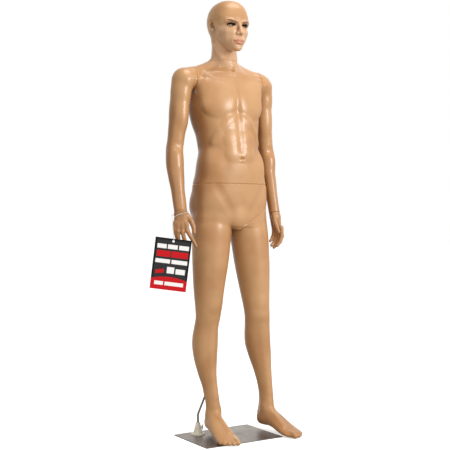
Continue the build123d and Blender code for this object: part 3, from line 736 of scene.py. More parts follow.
def head(clay):
    """Skull, face and ears above the neck."""
    level, rise, half_width, front, back = CRANIUM
    rows = list(SKULL_BELOW)
    for share in CRANIUM_LEVELS:
        size = (1 - share ** CRANIUM_SQUARENESS) ** (1 / CRANIUM_SQUARENESS)
        rows.append((level + share * rise, HEAD_MIDDLE, CRANIUM_CENTRE,
                     half_width * size, front * size, back * size, 2.3))
    clay.add(sheath(rows, end_blend=2), 0)
    clay.add(sheath(JAW, end_blend=5), 5)
    # muzzle and chin
    clay.add(ball((HEAD_MIDDLE, -50, 1672), (29, 18, 22)), 12)
    clay.add(ball((HEAD_MIDDLE, -49, 1641), (17, 12, 12)), 10)
    for side in (-1, 1):
        at = aside_of(HEAD_MIDDLE, side)
        # brow ridge, eye hollow, eyeball, and its upper and lower lids
        clay.add(bones([at(7, -60, 1742), at(30, -61, 1749), at(53, -44, 1751), at(62, -24, 1744)],
                       (6.5, 6.5, 6.5, 5)), 16)
        clay.cut(ball(at(31, -73, 1734), (19, 16, 7.5), (0, side * 6, side * -12)), 8)
        clay.add(ball(at(*EYE), (EYE_RADIUS,) * 3), 1.2)
        clay.add(bones([at(18, -57, 1732), at(25, -62.5, 1738), at(35, -62.5, 1738.6), at(48, -52, 1733)],
                       (1.6, 3.4, 3.4, 2.1)), 2.5)
        clay.add(bones([at(18, -57, 1731.5), at(27, -61.5, 1728.4), at(37, -60, 1728.6), at(46, -53, 1731.5)],
                       (1.4, 1.8, 1.8, 1.4)), 2.5)
        # cheekbone, cheek, temple, and the fold beside the nose
        clay.add(bones([at(24, -44, 1708), at(43, -34, 1709), at(57, -10, 1716)], (10, 11, 9)), 20)
        clay.add(ball(at(34, -26, 1688), (17, 14, 22)), 14)
        clay.cut(ball(at(93, -18, 1757), (13, 30, 24)), 16)
        clay.cut(bones([at(17, -79, 1698), at(32, -69, 1674)], 2.6), 9)
        # upper lip, lower lip, the line between them and its corner
        clay.add(bones([at(0, -67, 1670), at(7, -67.5, 1671.4), at(15, -63.5, 1669.2), at(25, -56, 1665.5)],
                       (3.6, 3.8, 3.0, 1.5)), 3)
        lower_lip = [at(0, -66.5, 1657.8), at(9, -65.5, 1658.4), at(24, -56.5, 1663.5)]
        clay.add(bones(lower_lip, (6.2, 5.6, 1.8)), 3)
        mouth_line = [at(0, -72.5, 1664.6), at(9, -72, 1665), at(17, -67.5, 1664.8), at(26, -59.5, 1664.6)]
        clay.cut(bones(mouth_line, (1.3, 1.3, 1.2, 1.2)), 1.6)
        clay.cut(ball(at(29, -62.5, 1664), (3, 4, 4)), 6)
        ear(clay, side)
    # bridge and tip of the nose, then its wings and nostrils
    clay.add(bones([(HEAD_MIDDLE, -62, 1748), (HEAD_MIDDLE, -69, 1728), (HEAD_MIDDLE, -77, 1706)],
                   (6.0, 5.5, 7.0)), 8)
    clay.add(ball((HEAD_MIDDLE, -76.5, 1701), (7.5, 7.5, 7)), 5)
    for side in (-1, 1):
        at = aside_of(HEAD_MIDDLE, side)
        clay.add(ball(at(10, -68, 1698), (6.5, 9, 7)), 5)
        clay.cut(ball(at(6, -74, 1689), (2.6, 4, 3.2)), 2)
        clay.cut(bones([at(18, -66, 1703), at(16.5, -67, 1693)], 1.4), 5)
    # groove above the lips, and the fold above the chin
    clay.cut(bones([(HEAD_MIDDLE, -76, 1688), (HEAD_MIDDLE, -73, 1678)], 2.2), 4)
    clay.cut(bones([(HEAD_MIDDLE - 13, -69, 1647.5), (HEAD_MIDDLE + 13, -69, 1647.5)], 3.4), 8)


EAR_PLACE = (77, 27, 1743)
EAR_TURN = math.radians(26)          # how far the ear stands out from the head
HELIX = [(-9, -2), (-10, 11), (-5, 21), (4, 25), (12, 22), (16, 12), (14, -2), (8, -13), (2, -20)]


def ear(clay, side):
    """Ear in its own directions: out of its plate, back, and up, with a slight lean backwards."""
    out = (side * math.cos(EAR_TURN), -math.sin(EAR_TURN), 0)
    back = (side * math.sin(EAR_TURN), math.cos(EAR_TURN), 0)
    local = ((HEAD_MIDDLE + side * EAR_PLACE[0], EAR_PLACE[1], EAR_PLACE[2]), (out, back, (0, 0.16, 0.987)))
    # plate, its two hollows, rim, lobe, front flap and inner ridge
    clay.add(placed(ball((0, 3, 1), (5, 14, 24)), *local), 4)
    clay.cut(placed(ball((8, 0, -3), (7, 7.5, 10)), *local), 2.5)
    clay.cut(placed(ball((7, 4, 13), (4.5, 7.5, 7.5)), *local), 2.5)
    clay.add(placed(bones([(3, p, q) for p, q in HELIX], (2.6, 3.0, 3.2, 3.2, 3.2, 3.0, 2.8, 2.8, 3.2)),
                    *local), 1.5)
    clay.add(placed(ball((2, -1, -22), (4.5, 6.5, 7)), *local), 3)
    clay.add(placed(ball((4, -8, -4), (4, 4, 5)), *local), 2.5)
    clay.add(placed(bones([(3, 8, 12), (3.5, 9, 0), (3, 3, -11)], 2.1), *local), 2)


# ======================================================================= cutting and mesh objects
FINE_RIM = (1.2, 0.7)                # height and depth of the small round on a seam's edge
SHOULDER_RIM = (1.9, 1.3)            # the same on wider seams
BOLD_RIM = (3.0, 2.4)


def to_bmesh(points, quads):
    bm = bmesh.new()
    vertices = [bm.verts.new(point) for point in points]
    for quad in quads.tolist():
        bm.faces.new([vertices[i] for i in quad])
    return bm


def cut_flat(bm, point, normal, only=None, hole=0.0, rim=FINE_RIM):
    """Keeps the side that normal points to, caps the cut and rounds its edge.  hole leaves a square
    opening of that half width in the cap, for a keyed fitting."""
    point, normal = Vector(point), Vector(normal).normalized()

    def part():
        faces = bm.faces if only is None else [face for face in bm.faces if only(face)]
        return list({item for face in faces for item in (face, *face.verts, *face.edges)})

    if rim:
        bmesh.ops.bisect_plane(bm, geom=part(), plane_co=point + normal * rim[0], plane_no=normal)
    result = bmesh.ops.bisect_plane(bm, geom=part(), plane_co=point, plane_no=normal, clear_inner=True)
    ring = [item for item in result["geom_cut"] if isinstance(item, bmesh.types.BMEdge)]
    if rim:
        bm.normal_update()
        for vertex in [item for item in part() if isinstance(item, bmesh.types.BMVert)]:
            slip = vertex.normal - normal * vertex.normal.dot(normal)
            near = 1 - (vertex.co - point).dot(normal) / rim[0]
            if near > 0 and slip.length > 0.3:
                vertex.co -= slip.normalized() * rim[1] * min(near, 1)
    if hole:
        side = Vector((1, 0, 0)) - normal * normal.x
        side.normalize()
        other = normal.cross(side)
        corners = [bm.verts.new(point + side * a * hole + other * b * hole)
                   for a, b in ((-1, -1), (1, -1), (1, 1), (-1, 1))]
        ring += [bm.edges.new((corners[i], corners[(i + 1) % 4])) for i in range(4)]
        cap = bmesh.ops.triangle_fill(bm, edges=ring, use_beauty=False)["geom"]
        cap = [item for item in cap if isinstance(item, bmesh.types.BMFace)]
    else:
        cap = bmesh.ops.holes_fill(bm, edges=ring, sides=0)["faces"]
    for face in cap:
        face.normal_update()
        if face.normal.dot(normal) > 0:
            face.normal_flip()
    return cap


SHARP = math.radians(32)


def finish_piece(bm, name, body, replaces):
    """Turns the bmesh into a smooth-shaded object in metres that stands for its CAD nodes."""
    for vertex in bm.verts:
        vertex.co *= MM
    bm.normal_update()
    for face in bm.faces:
        face.smooth = len(face.verts) < 5
    for edge in bm.edges:
        edge.smooth = len(edge.link_faces) == 2 and edge.calc_face_angle(0) < SHARP
    mesh = bpy.data.meshes.new(name)
    bm.to_mesh(mesh)
    bm.free()
    piece = bpy.data.objects.new(name, mesh)
    bpy.context.scene.collection.objects.link(piece)
    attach(piece, body)
    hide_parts(*replaces)
    return piece


SHOULDER_BLEND = (1440, 1500, 46)    # heights over which the blend grows, and its most


def growing_blend(clay, start, end, most, least):
    """A blend that grows with height, from a small share of its most."""
    height = clay.axes[2][None, None, :]
    return most * np.clip((height - start) / (end - start), least, 1)


def shoulder_blend(clay):
    """The arms are moulded into the chest above the armpit and stay apart from it below."""
    return growing_blend(clay, *SHOULDER_BLEND, least=0.02)


BELOW_SHOULDERS = 1370               # under this height the arms and the torso are apart
KEY_HOLE_ABOVE, KEY_HOLE_BELOW = 25, 22  # half widths of the waist key's holes in torso and pelvis


def make_torso():
    clay = Clay((-175, -90, 1050), (205, 185, 1625), 3.0)
    trunk(clay)
    blend = shoulder_blend(clay)
    for side in (-1, 1):
        limb = clay.like()
        arm(limb, side)
        limb.clear_below(BELOW_SHOULDERS)
        clay.join(limb, blend)
    bm = to_bmesh(*smooth_skin(clay))
    cut_flat(bm, (0, 0, WAIST_HEIGHT), (0, 0, 1), hole=KEY_HOLE_ABOVE, rim=BOLD_RIM)
    cut_flat(bm, NECK, (0, 0, -1))
    for side in (-1, 1):
        cut_flat(bm, (SHOULDER_SEAMS[side], 0, 0), (-side, 0, 0), rim=SHOULDER_RIM,
                 only=lambda face: face.calc_center_median().z > BELOW_SHOULDERS - 60)
    return finish_piece(bm, "torso_skin", "torso", ["torso_shell"])


def make_arm(side):
    name = "right" if side < 0 else "left"
    middle = ARMS[side][6][1]
    low, high = sorted((SHOULDER_SEAMS[side] - side * 12, middle + side * 62))
    clay = Clay((low, -50, WRISTS[side][2] - 22), (high, 140, 1585), 2.6)
    arm(clay, side)
    body = clay.like()
    trunk(body)
    body.clear_below(BELOW_SHOULDERS)
    clay.join(body, shoulder_blend(clay))
    bm = to_bmesh(*smooth_skin(clay))
    cut_flat(bm, (SHOULDER_SEAMS[side] + side * MOVING_GAP, 0, 0), (side, 0, 0), rim=SHOULDER_RIM)
    cut_flat(bm, WRISTS[side], FOREARM_UP)
    return finish_piece(bm, f"{name}_arm_skin", f"{name}_arm", [f"{name}_arm_shell"])


def make_hand(side):
    name = "right" if side < 0 else "left"
    x, y, z = WRISTS[side]
    clay = Clay((x - 75, y - 80, z - 172), (x + 75, y + 60, z + 20), 1.6)
    hand(clay, side)
    bm = to_bmesh(*smooth_skin(clay))
    cut_flat(bm, Vector(WRISTS[side]) - FOREARM_UP * MOVING_GAP, -FOREARM_UP)
    return finish_piece(bm, f"{name}_hand_skin", f"{name}_hand", [f"{name}_hand_shell"])


def make_head():
    clay = Clay((-85, -98, 1585), (115, 160, 1864), 1.5)
    trunk(clay)
    skull = clay.like()
    head(skull)
    clay.join(skull, 14)
    bm = to_bmesh(*smooth_skin(clay))
    cut_flat(bm, Vector(NECK) + Vector((0, 0, MOVING_GAP)), (0, 0, 1))
    return finish_piece(bm, "head_skin", "head", ["head_shell"])


HIP_BLEND = (850, 930, 24)           # heights over which the right leg's blend grows, and its most


def make_pelvis():
    clay = Clay((-170, -200, -4), (228, 190, 1085), 2.8)
    trunk(clay)
    left = clay.like()
    leg(left, 1)
    clay.join(left, HIP_BLEND[2])
    right = clay.like()
    leg(right, -1)
    clay.join(right, growing_blend(clay, *HIP_BLEND, least=0.05))
    bm = to_bmesh(*smooth_skin(clay))
    cut_flat(bm, (0, 0, WAIST_HEIGHT), (0, 0, -1), hole=KEY_HOLE_BELOW, rim=BOLD_RIM)
    cut_flat(bm, CROTCH, HIP_NORMAL, only=lambda face: face.calc_center_median().x > CROTCH[0], rim=BOLD_RIM)
    cut_flat(bm, (0, 0, SOLE_HEIGHT), (0, 0, 1), rim=None)
    return finish_piece(bm, "pelvis_right_leg_skin", "legs", ["pelvis_right_leg_shell"])


def make_left_leg():
    clay = Clay((20, -225, -4), (275, 190, 1040), 2.6)
    trunk(clay)
    limb = clay.like()
    leg(limb, 1)
    clay.join(limb, HIP_BLEND[2])
    bm = to_bmesh(*smooth_skin(clay))
    cut_flat(bm, CROTCH, -HIP_NORMAL, rim=BOLD_RIM)
    cut_flat(bm, (0, 0, SOLE_HEIGHT), (0, 0, 1), rim=None)
    return finish_piece(bm, "left_leg_skin", "legs", ["left_leg_shell"])


# ======================================================================= tag and string
WRIST = Vector(WRISTS[-1]) * MM
HAND_ACROSS, HAND_OUTWARD, HAND_UP = [Vector(axis) for axis in hand_axes(-1)]
STRING_ROUTE = [                     # across, outward, up from the right wrist: part.py's own route
    (-0.003, -0.027, -0.012), (-0.018, -0.026, -0.014), (-0.031, -0.015, -0.017), (-0.035, 0.002, -0.021),
    (-0.033, 0.018, -0.029), (-0.029, 0.031, -0.050), (-0.026, 0.039, -0.078), (-0.025, 0.043, -0.104),
    (-0.0252, 0.043, -0.1225), (-0.0258, 0.029, -0.1225), (-0.027, 0.028, -0.104),
    (-0.0295, 0.0245, -0.078), (-0.031, 0.021, -0.052), (-0.027, 0.021, -0.031), (-0.014, 0.026, -0.020),
    (0.003, 0.028, -0.014), (0.021, 0.024, -0.010), (0.033, 0.011, -0.008), (0.034, -0.006, -0.008),
    (0.023, -0.022, -0.009), (0.003, -0.027, -0.010),
]
STRING_DIAMETER = 0.0018


def from_wrist(across, outward, up):
    return WRIST + HAND_ACROSS * across + HAND_OUTWARD * outward + HAND_UP * up


def round_string(name, lines):
    """A curve of string through each line of places from the wrist."""
    curve = bpy.data.curves.new(name, "CURVE")
    curve.dimensions = "3D"
    curve.bevel_depth = STRING_DIAMETER / 2
    curve.bevel_resolution = 3
    curve.resolution_u = 12
    for line in lines:
        spline = curve.splines.new("NURBS")
        spline.points.add(len(line) - 1)
        for control, place in zip(spline.points, line):
            control.co = (*from_wrist(*place), 1)
        spline.order_u = 3
        spline.use_endpoint_u = True
    piece = bpy.data.objects.new(name, curve)
    bpy.context.scene.collection.objects.link(piece)
    return piece


def make_string():
    """The loop that ties the tag to the right wrist."""
    string = round_string("tag_string_fibre", [STRING_ROUTE])
    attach(string, "right_hand")
    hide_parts("tag_string")
    return string


KNOT_PLACE = (0.0, -0.027, -0.011)
KNOT_SIZE = 0.0021
KNOT_STEPS = 30
KNOT_ENDS = [                        # the two cut ends, from the knot's middle
    [(0.0005, -0.0005, -0.001), (0.002, -0.002, -0.004), (0.0025, -0.0015, -0.0085)],
    [(-0.0005, -0.0005, -0.001), (-0.002, -0.002, -0.0045), (-0.0035, -0.001, -0.0080)],
]


def make_knot():
    """An overhand knot with its two cut ends, pulled tight behind the wrist."""
    turns = [2 * math.pi * step / KNOT_STEPS for step in range(KNOT_STEPS + 1)]
    trefoil = [(math.sin(t) + 2 * math.sin(2 * t), -math.sin(3 * t), math.cos(t) - 2 * math.cos(2 * t))
               for t in turns]
    trefoil = [tuple(part * KNOT_SIZE / 3 for part in point) for point in trefoil]
    lines = [[tuple(a + b for a, b in zip(KNOT_PLACE, point)) for point in line]
             for line in (trefoil, *KNOT_ENDS)]
    knot = round_string("string_overhand_knot", lines)
    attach(knot, "right_hand")
    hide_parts("string_knot")
    return knot


# ======================================================================= materials
class Nodes:
    """Short calls for building one node material."""

    def __init__(self, name):
        self.material = bpy.data.materials.new(name)
        self.material.use_nodes = True
        self.tree = self.material.node_tree
        self.shader = self.tree.nodes["Principled BSDF"]
        self.place = self.make("ShaderNodeTexCoord").outputs["Object"]

    def make(self, kind, **settings):
        node = self.tree.nodes.new(kind)
        for name, value in settings.items():
            setattr(node, name, value)
        return node

    def feed(self, socket, value):
        if isinstance(value, bpy.types.NodeSocket):
            self.tree.links.new(value, socket)
        else:
            socket.default_value = value

    def math(self, operation, first, second=0.0):
        node = self.make("ShaderNodeMath", operation=operation)
        for socket, value in zip(node.inputs, (first, second)):
            self.feed(socket, value)
        return node.outputs[0]

    def noise(self, scale, detail=3.0, roughness=0.5, place=None):
        node = self.make("ShaderNodeTexNoise")
        self.feed(node.inputs["Vector"], place or self.place)
        self.feed(node.inputs["Scale"], scale)
        self.feed(node.inputs["Detail"], detail)
        self.feed(node.inputs["Roughness"], roughness)
        return node.outputs[0]

    def product(self, *factors):
        total = factors[0]
        for factor in factors[1:]:
            total = self.math("MULTIPLY", total, factor)
        return total

    def band(self, value, rise, fall):
        """1 between a rise and a fall, each given by its start and end."""
        return self.product(self.span(value, *rise), self.span(value, *fall))

    def along(self, place, axis):
        node = self.make("ShaderNodeVectorMath", operation="DOT_PRODUCT")
        self.feed(node.inputs[0], place)
        node.inputs[1].default_value = axis
        return node.outputs["Value"]

    def span(self, value, start, end, low=0.0, high=1.0):
        """A value eased from low to high as it goes from start to end."""
        node = self.make("ShaderNodeMapRange", interpolation_type="SMOOTHSTEP")
        for socket, number in zip(node.inputs, (value, start, end, low, high)):
            self.feed(socket, number)
        return node.outputs[0]

    def mix(self, share, first, second):
        node = self.make("ShaderNodeMix", data_type="RGBA")
        self.feed(node.inputs["Factor"], share)
        self.feed(node.inputs[6], first)
        self.feed(node.inputs[7], second)
        return node.outputs[2]

    def stretched(self, scale):
        """The place, scaled differently along each axis, for brushed grain."""
        node = self.make("ShaderNodeMapping")
        self.feed(node.inputs["Vector"], self.place)
        node.inputs["Scale"].default_value = scale
        return node.outputs[0]

    def axes(self):
        node = self.make("ShaderNodeSeparateXYZ")
        self.feed(node.inputs[0], self.place)
        return node.outputs

    def bump(self, height, strength, distance, under=None):
        node = self.make("ShaderNodeBump")
        self.feed(node.inputs["Height"], height)
        node.inputs["Strength"].default_value = strength
        node.inputs["Distance"].default_value = distance
        if under:
            self.feed(node.inputs["Normal"], under)
        return node.outputs[0]

    def surface(self, **values):
        for name, value in values.items():
            self.feed(self.shader.inputs[name.replace("_", " ")], value)


SKIN_MID = (0.500, 0.268, 0.113, 1)
SKIN_WARM_CLOUD_AND_HOLLOW_SHADE = (0.437, 0.211, 0.079, 1)
SKIN_PALE = (0.560, 0.325, 0.157, 1)
SCUFF = (0.62, 0.42, 0.26, 1)
# colours of painted light on the face and of painted shade on the flanks and forearms
FACE_PAINTED_LIGHT = (0.700, 0.445, 0.265, 1)
FLANK_PAINTED_SHADE = (0.270, 0.100, 0.028, 1)
FOREARM_PAINTED_SHADE = (0.350, 0.165, 0.062, 1)


def skin_colour(n):
    """Sprayed plastic: broad warm clouds, fine spray speckle and a few scuffs; painted light on the neck and
    lower face, painted shade on the forearms, on flanks that face sideways and in hollows."""
    colour = n.mix(n.span(n.noise(7, 2), 0.38, 0.66), SKIN_MID, SKIN_WARM_CLOUD_AND_HOLLOW_SHADE)
    x, _, height = n.axes()
    # painted light: the neck and lower face are painted paler, standing in for the light falling on them
    face = n.band(height, (1.52, 1.62), (1.765, 1.725))
    colour = n.mix(n.product(face, 0.6), colour, FACE_PAINTED_LIGHT)
    aside = n.math("ABSOLUTE", n.math("SUBTRACT", x, HEAD_MIDDLE * MM))
    # painted shade: the forearms, away from the middle and below the elbows, are painted browner
    forearm = n.product(n.span(aside, 0.185, 0.205), n.span(height, 1.24, 1.08))
    colour = n.mix(n.product(forearm, 0.55), colour, FOREARM_PAINTED_SHADE)
    # painted shade: surfaces facing sideways between hip and chest heights, the flanks most, are painted
    # browner
    facing = n.along(n.make("ShaderNodeNewGeometry").outputs["Normal"], (1, 0, 0))
    sideways_shade = n.span(n.math("ABSOLUTE", facing), 0.72, 0.98)
    flank_shade_band = n.band(height, (0.80, 0.95), (1.44, 1.34))
    colour = n.mix(n.product(sideways_shade, flank_shade_band, 0.6), colour, FLANK_PAINTED_SHADE)
    colour = n.mix(n.span(n.noise(900, 1), 0.52, 0.75, 0, 0.35), colour, SKIN_PALE)
    # painted shade: creases and hollows, found by their low pointiness, take the darker warm tone
    pointed = n.make("ShaderNodeNewGeometry").outputs["Pointiness"]
    colour = n.mix(n.span(pointed, 0.50, 0.42, 0, 0.55), colour, SKIN_WARM_CLOUD_AND_HOLLOW_SHADE)
    scuffs = n.product(n.span(n.noise(38, 6, 0.75), 0.62, 0.70), n.span(n.noise(5, 1), 0.5, 0.62))
    return n.mix(n.product(scuffs, 0.25), colour, SCUFF)


def skin_finish(n, colour, roughness):
    """A satin coat over slightly wavy plastic with a fine spray grain."""
    grain = n.bump(n.noise(520, 2), 0.10, 0.0006)
    waves = n.bump(n.noise(24, 1), 0.10, 0.004, grain)
    patchy = n.span(n.noise(16, 4), 0.3, 0.7, roughness - 0.05, roughness + 0.08)
    n.surface(Base_Color=colour, Normal=waves, Roughness=patchy, Specular_IOR_Level=0.5,
              Coat_Weight=0.3, Coat_Roughness=0.22)


def skin(name, roughness):
    n = Nodes(name)
    skin_finish(n, skin_colour(n), roughness)
    return n.material


BROW_BROWN = (0.11, 0.045, 0.018, 1)
LASH_BLACK = (0.008, 0.005, 0.004, 1)
IRIS_BROWN = (0.020, 0.010, 0.006, 1)
EYE_WHITE = (0.50, 0.43, 0.36, 1)
LID_BROWN = (0.25, 0.10, 0.04, 1)
# painted shade for the ear's hollow and the parting of the lips
EAR_HOLLOW_SHADE = (0.19, 0.075, 0.030, 1)
LIP_PARTING_SHADE = (0.16, 0.04, 0.02, 1)
LIP_PINK = (0.50, 0.165, 0.095, 1)


def oval(n, aside, height, centre, radii, lean=0.0, soft=0.25):
    """1 inside a leaning oval on the face, 0 outside it."""
    u = n.math("SUBTRACT", aside, centre[0])
    w = n.math("SUBTRACT", height, centre[1])
    cosine, sine = math.cos(lean), math.sin(lean)
    along = n.math("DIVIDE", n.math("ADD", n.product(u, cosine), n.product(w, sine)), radii[0])
    across = n.math("DIVIDE", n.math("SUBTRACT", n.product(w, cosine), n.product(u, sine)), radii[1])
    size = n.math("SQRT", n.math("ADD", n.product(along, along), n.product(across, across)))
    return n.span(size, 1 + soft / 2, 1 - soft / 2)


def face_skin():
    """Skin with painted brows, lashes, eyes and lips, and painted shade in the ear hollows and the lips'
    parting.
    """
    n = Nodes("face_paint")
    colour = skin_colour(n)
    x, y, z = n.axes()
    aside = n.math("ABSOLUTE", n.math("SUBTRACT", x, HEAD_MIDDLE * MM))
    front = n.span(y, -0.022, -0.030)

    def paint(colour, mask, paint_colour, strength=1.0):
        return n.mix(n.product(mask, front, strength), colour, paint_colour)

    hair = n.span(n.noise(1.0, 2, 0.5, n.stretched((900, 300, 500))), 0.3, 0.6, 0.7, 1)
    brow = n.product(oval(n, aside, z, (0.0320, 1.7485), (0.022, 0.0040), 0.20, 0.8), hair)
    colour = paint(colour, brow, BROW_BROWN)
    shade = oval(n, aside, z, (0.0325, 1.7405), (0.0185, 0.0075), 0.0, 0.9)
    colour = paint(colour, shade, LID_BROWN, 0.5)
    lash = oval(n, aside, z, (0.0330, 1.7348), (0.0180, 0.0062), 0.05, 0.25)
    colour = paint(colour, lash, LASH_BLACK)
    white = oval(n, aside, z, (0.0335, 1.7315), (0.0100, 0.0016), 0.05, 0.25)
    colour = paint(colour, white, EYE_WHITE)
    iris = oval(n, aside, z, (0.0318, 1.7330), (0.0070, 0.0070), 0.0, 0.2)
    colour = paint(colour, iris, IRIS_BROWN)
    # painted shade: the hollow of the ear is painted dark brown
    beside = n.span(aside, 0.060, 0.066)
    hollow = oval(n, y, z, (0.024, 1.7400), (0.0090, 0.0150), -0.15, 0.9)
    colour = n.mix(n.product(hollow, beside, 0.9), colour, EAR_HOLLOW_SHADE)
    lips = oval(n, aside, z, (0.0, 1.6645), (0.0265, 0.0105), 0.0, 0.3)
    colour = paint(colour, lips, LIP_PINK, 0.75)
    # painted shade: the crease between the lips is painted dark brown
    lip_parting_shade = oval(n, aside, z, (0.0, 1.6648), (0.0245, 0.0012), 0.0, 0.8)
    colour = paint(colour, lip_parting_shade, LIP_PARTING_SHADE, 0.8)
    skin_finish(n, colour, 0.36)
    painted = n.product(lash, front)
    n.surface(Specular_IOR_Level=n.span(painted, 0, 1, 0.5, 0.04), Coat_Weight=n.span(painted, 0, 1, 0.25, 0))
    return n.material


CREAM_WARM = (0.72, 0.67, 0.55, 1)
CREAM_LIGHT = (0.78, 0.74, 0.64, 1)
CREAM_DIRT = (0.40, 0.35, 0.27, 1)


def cream_plastic():
    """Moulded socket: faint flow marks and a waxy gloss."""
    n = Nodes("cream_plastic")
    colour = n.mix(n.span(n.noise(60, 3), 0.35, 0.65), CREAM_WARM, CREAM_LIGHT)
    dirt = n.span(n.noise(180, 5, 0.7), 0.6, 0.75, 0, 0.3)
    n.surface(Base_Color=n.mix(dirt, colour, CREAM_DIRT), Normal=n.bump(n.noise(700, 2), 0.12, 0.0004),
              Roughness=n.span(n.noise(90), 0.3, 0.7, 0.36, 0.5))
    return n.material


STEEL_DULL = (0.235, 0.205, 0.185, 1)
STEEL_LIGHT = (0.36, 0.33, 0.305, 1)
STEEL_GRAIN = (0.16, 0.135, 0.12, 1)
STEEL_MARK = (0.15, 0.13, 0.12, 1)


def brushed_steel():
    """Sheet steel brushed along its length, with wear spots and a darker oiled cloudiness."""
    n = Nodes("brushed_steel")
    grain = n.noise(1.0, 3, 0.6, n.stretched((14, 1500, 1500)))
    cloud = n.noise(9, 3)
    colour = n.mix(n.span(cloud, 0.35, 0.7), STEEL_DULL, STEEL_LIGHT)
    colour = n.mix(n.span(grain, 0.35, 0.65, 0, 0.5), colour, STEEL_GRAIN)
    marks = n.span(n.noise(70, 5, 0.7), 0.66, 0.74, 0, 0.4)
    n.surface(Base_Color=n.mix(marks, colour, STEEL_MARK), Metallic=1.0, Anisotropic=0.5,
              Roughness=n.span(grain, 0.3, 0.7, 0.30, 0.46), Normal=n.bump(grain, 0.12, 0.0003))
    return n.material


def polished_metal(name, colour, roughness, metal=1.0):
    """Plated or turned metal with fine drawing lines and fingerprints."""
    n = Nodes(name)
    smudge = n.noise(120, 4, 0.6)
    dark = tuple(part * 0.7 for part in colour[:3]) + (1,)
    rings = n.noise(1.0, 2, 0.5, n.stretched((300, 300, 2500)))
    n.surface(Base_Color=n.mix(n.span(smudge, 0.45, 0.75, 0, 0.5), colour, dark), Metallic=metal,
              Roughness=n.span(smudge, 0.3, 0.7, roughness, roughness + 0.12),
              Normal=n.bump(rings, 0.06, 0.0002))
    return n.material


NYLON_LIGHT = (0.70, 0.69, 0.65, 1)
NYLON_DULL = (0.62, 0.61, 0.56, 1)


def nylon():
    """Natural nylon of the fittings, with a faint mottle."""
    n = Nodes("nylon")
    colour = n.mix(n.span(n.noise(80, 3), 0.4, 0.6), NYLON_LIGHT, NYLON_DULL)
    n.surface(Base_Color=colour, Roughness=n.span(n.noise(200), 0.3, 0.7, 0.42, 0.55),
              Normal=n.bump(n.noise(900, 2), 0.1, 0.0003))
    return n.material


COTTON_SHADE = (0.62, 0.60, 0.56, 1)
COTTON_WHITE = (0.80, 0.79, 0.76, 1)


def twine():
    """Thin white cotton string: fuzz and a twisted lay."""
    n = Nodes("twine")
    x, y, z = n.axes()
    slanting = n.math("ADD", n.product(z, 5200), n.product(n.math("ADD", x, y), 3800))
    lay = n.math("SINE", slanting)
    colour = n.mix(n.span(lay, -0.6, 0.6), COTTON_SHADE, COTTON_WHITE)
    n.surface(Base_Color=colour, Roughness=n.span(n.noise(2000), 0.3, 0.7, 0.7, 0.9),
              Normal=n.bump(lay, 0.5, 0.0002), Sheen_Weight=0.3)
    return n.material


CARD_CENTRE = (-0.037, 0.036, -0.219)    # across, outward and up from the right wrist
CARD_ROLL = math.radians(7)
PRINT_BARS = [                       # centre and half size on the card, slant, colour: bars, not words
    ((-0.044, 0.071), (0.019, 0.0088), 0.0, "white"), ((0.000, 0.071), (0.020, 0.0088), 0.0, "white"),
    ((0.046, 0.071), (0.020, 0.0088), 0.0, "white"),
    ((-0.034, 0.041), (0.028, 0.0125), 0.0, "red"), ((0.032, 0.041), (0.034, 0.0125), 0.0, "red"),
    ((-0.034, 0.011), (0.030, 0.0082), 0.0, "white"), ((0.034, 0.011), (0.032, 0.0082), 0.0, "white"),
    ((-0.042, -0.024), (0.017, 0.0075), 0.18, "red"),
    ((0.002, -0.024), (0.015, 0.0130), 0.0, "white"), ((0.042, -0.027), (0.019, 0.0105), 0.0, "white"),
]
FOOT_BARS = [((-0.040, -0.079), (0.018, 0.0075)), ((0.022, -0.079), (0.038, 0.0075))]
FOOT_ARCH = 2.2                      # how fast the red foot's top edge falls to the sides
FOOT_TOP = (-0.0505, -0.0515)
PANEL_HALF = (0.0665, 0.0970)
PANEL_DARK = (0.020, 0.019, 0.020, 1)
PANEL_GREY = (0.038, 0.036, 0.038, 1)
CARD_BLACK = (0.006, 0.006, 0.007, 1)
CARD_WORN = (0.20, 0.19, 0.19, 1)
PRINT_WHITE = (0.92, 0.91, 0.90, 1)
PRINT_RED = (0.58, 0.005, 0.010, 1)


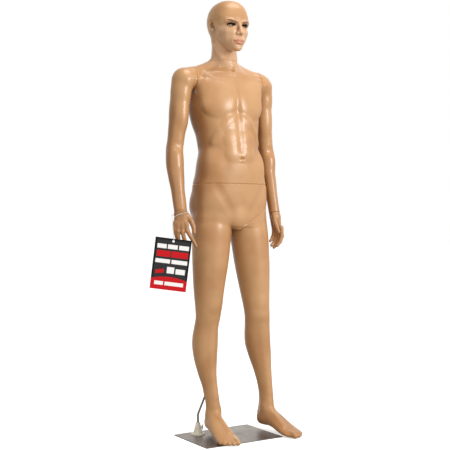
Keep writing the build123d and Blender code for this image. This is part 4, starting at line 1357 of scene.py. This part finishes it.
def printed_card():
    """Matt black card with a charcoal panel, plain bars where the print was, and a red foot."""
    n = Nodes("printed_card")
    centre = from_wrist(*CARD_CENTRE)
    right = HAND_ACROSS * math.cos(CARD_ROLL) - HAND_UP * math.sin(CARD_ROLL)
    top = HAND_UP * math.cos(CARD_ROLL) + HAND_ACROSS * math.sin(CARD_ROLL)

    u, w = [n.math("SUBTRACT", n.along(n.place, axis), centre.dot(axis)) for axis in (right, top)]

    def bar(middle, half, slant=0.0, edge=0.0006):
        leaning = n.math("SUBTRACT", n.math("SUBTRACT", w, middle[1]), n.product(u, slant))
        inside = [n.span(n.math("ABSOLUTE", value), size + edge, size - edge) for value, size in
                  ((n.math("SUBTRACT", u, middle[0]), half[0]), (leaning, half[1]))]
        return n.product(*inside)

    fibre = n.noise(260, 5, 0.7)
    panel = n.mix(n.span(fibre, 0.35, 0.65), PANEL_DARK, PANEL_GREY)
    colour = n.mix(bar((0, 0), PANEL_HALF), CARD_BLACK, panel)
    for middle, half, slant, ink in PRINT_BARS:
        colour = n.mix(bar(middle, half, slant), colour, PRINT_WHITE if ink == "white" else PRINT_RED)
    arch = n.math("ADD", w, n.product(u, u, FOOT_ARCH))
    colour = n.mix(n.span(arch, *FOOT_TOP), colour, PRINT_RED)
    for middle, half in FOOT_BARS:
        colour = n.mix(bar(middle, half), colour, PRINT_WHITE)
    worn = n.span(n.noise(500, 4, 0.8), 0.62, 0.72, 0, 0.35)
    colour = n.mix(worn, colour, CARD_WORN)
    n.surface(Base_Color=colour, Roughness=n.span(fibre, 0.3, 0.7, 0.5, 0.62), Specular_IOR_Level=0.25,
              Normal=n.bump(fibre, 0.06, 0.0003))
    return n.material


def dress(piece, material):
    piece.data.materials.clear()
    piece.data.materials.append(material)


def dress_node(node, material):
    """Gives a carried-over CAD node a better material."""
    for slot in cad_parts[node].material_slots:
        slot.material = material


# ======================================================================= build
knot = make_knot()
string = make_string()
torso = make_torso()
arms = [make_arm(side) for side in (-1, 1)]
hands = [make_hand(side) for side in (-1, 1)]
skull = make_head()
legs = [make_pelvis(), make_left_leg()]

glossy_skin = skin("body_skin", 0.34)
satin_skin = skin("limb_skin", 0.42)
for piece in (torso, *arms):
    dress(piece, glossy_skin)
for piece in hands + legs:
    dress(piece, satin_skin)
dress(skull, face_skin())
string_cotton = twine()
for piece in (string, knot):
    dress(piece, string_cotton)

dress_node("hang_tag", printed_card())
dress_node("base_plate", brushed_steel())
dress_node("rod_socket", cream_plastic())
dress_node("support_rod", polished_metal("rod_chrome", (0.26, 0.245, 0.235, 1), 0.10))
dress_node("clamp_thumbscrew", polished_metal("dark_zinc", (0.24, 0.24, 0.25, 1), 0.30))
zinc = polished_metal("bright_zinc", (0.50, 0.50, 0.49, 1), 0.26)
fitting_nylon = nylon()
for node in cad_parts:
    if node in ("socket_screws", "calf_insert") or node.endswith("_stud"):
        dress_node(node, zinc)
    elif node.endswith("_socket") and node != "rod_socket" or node.endswith("_peg"):
        dress_node(node, fitting_nylon)
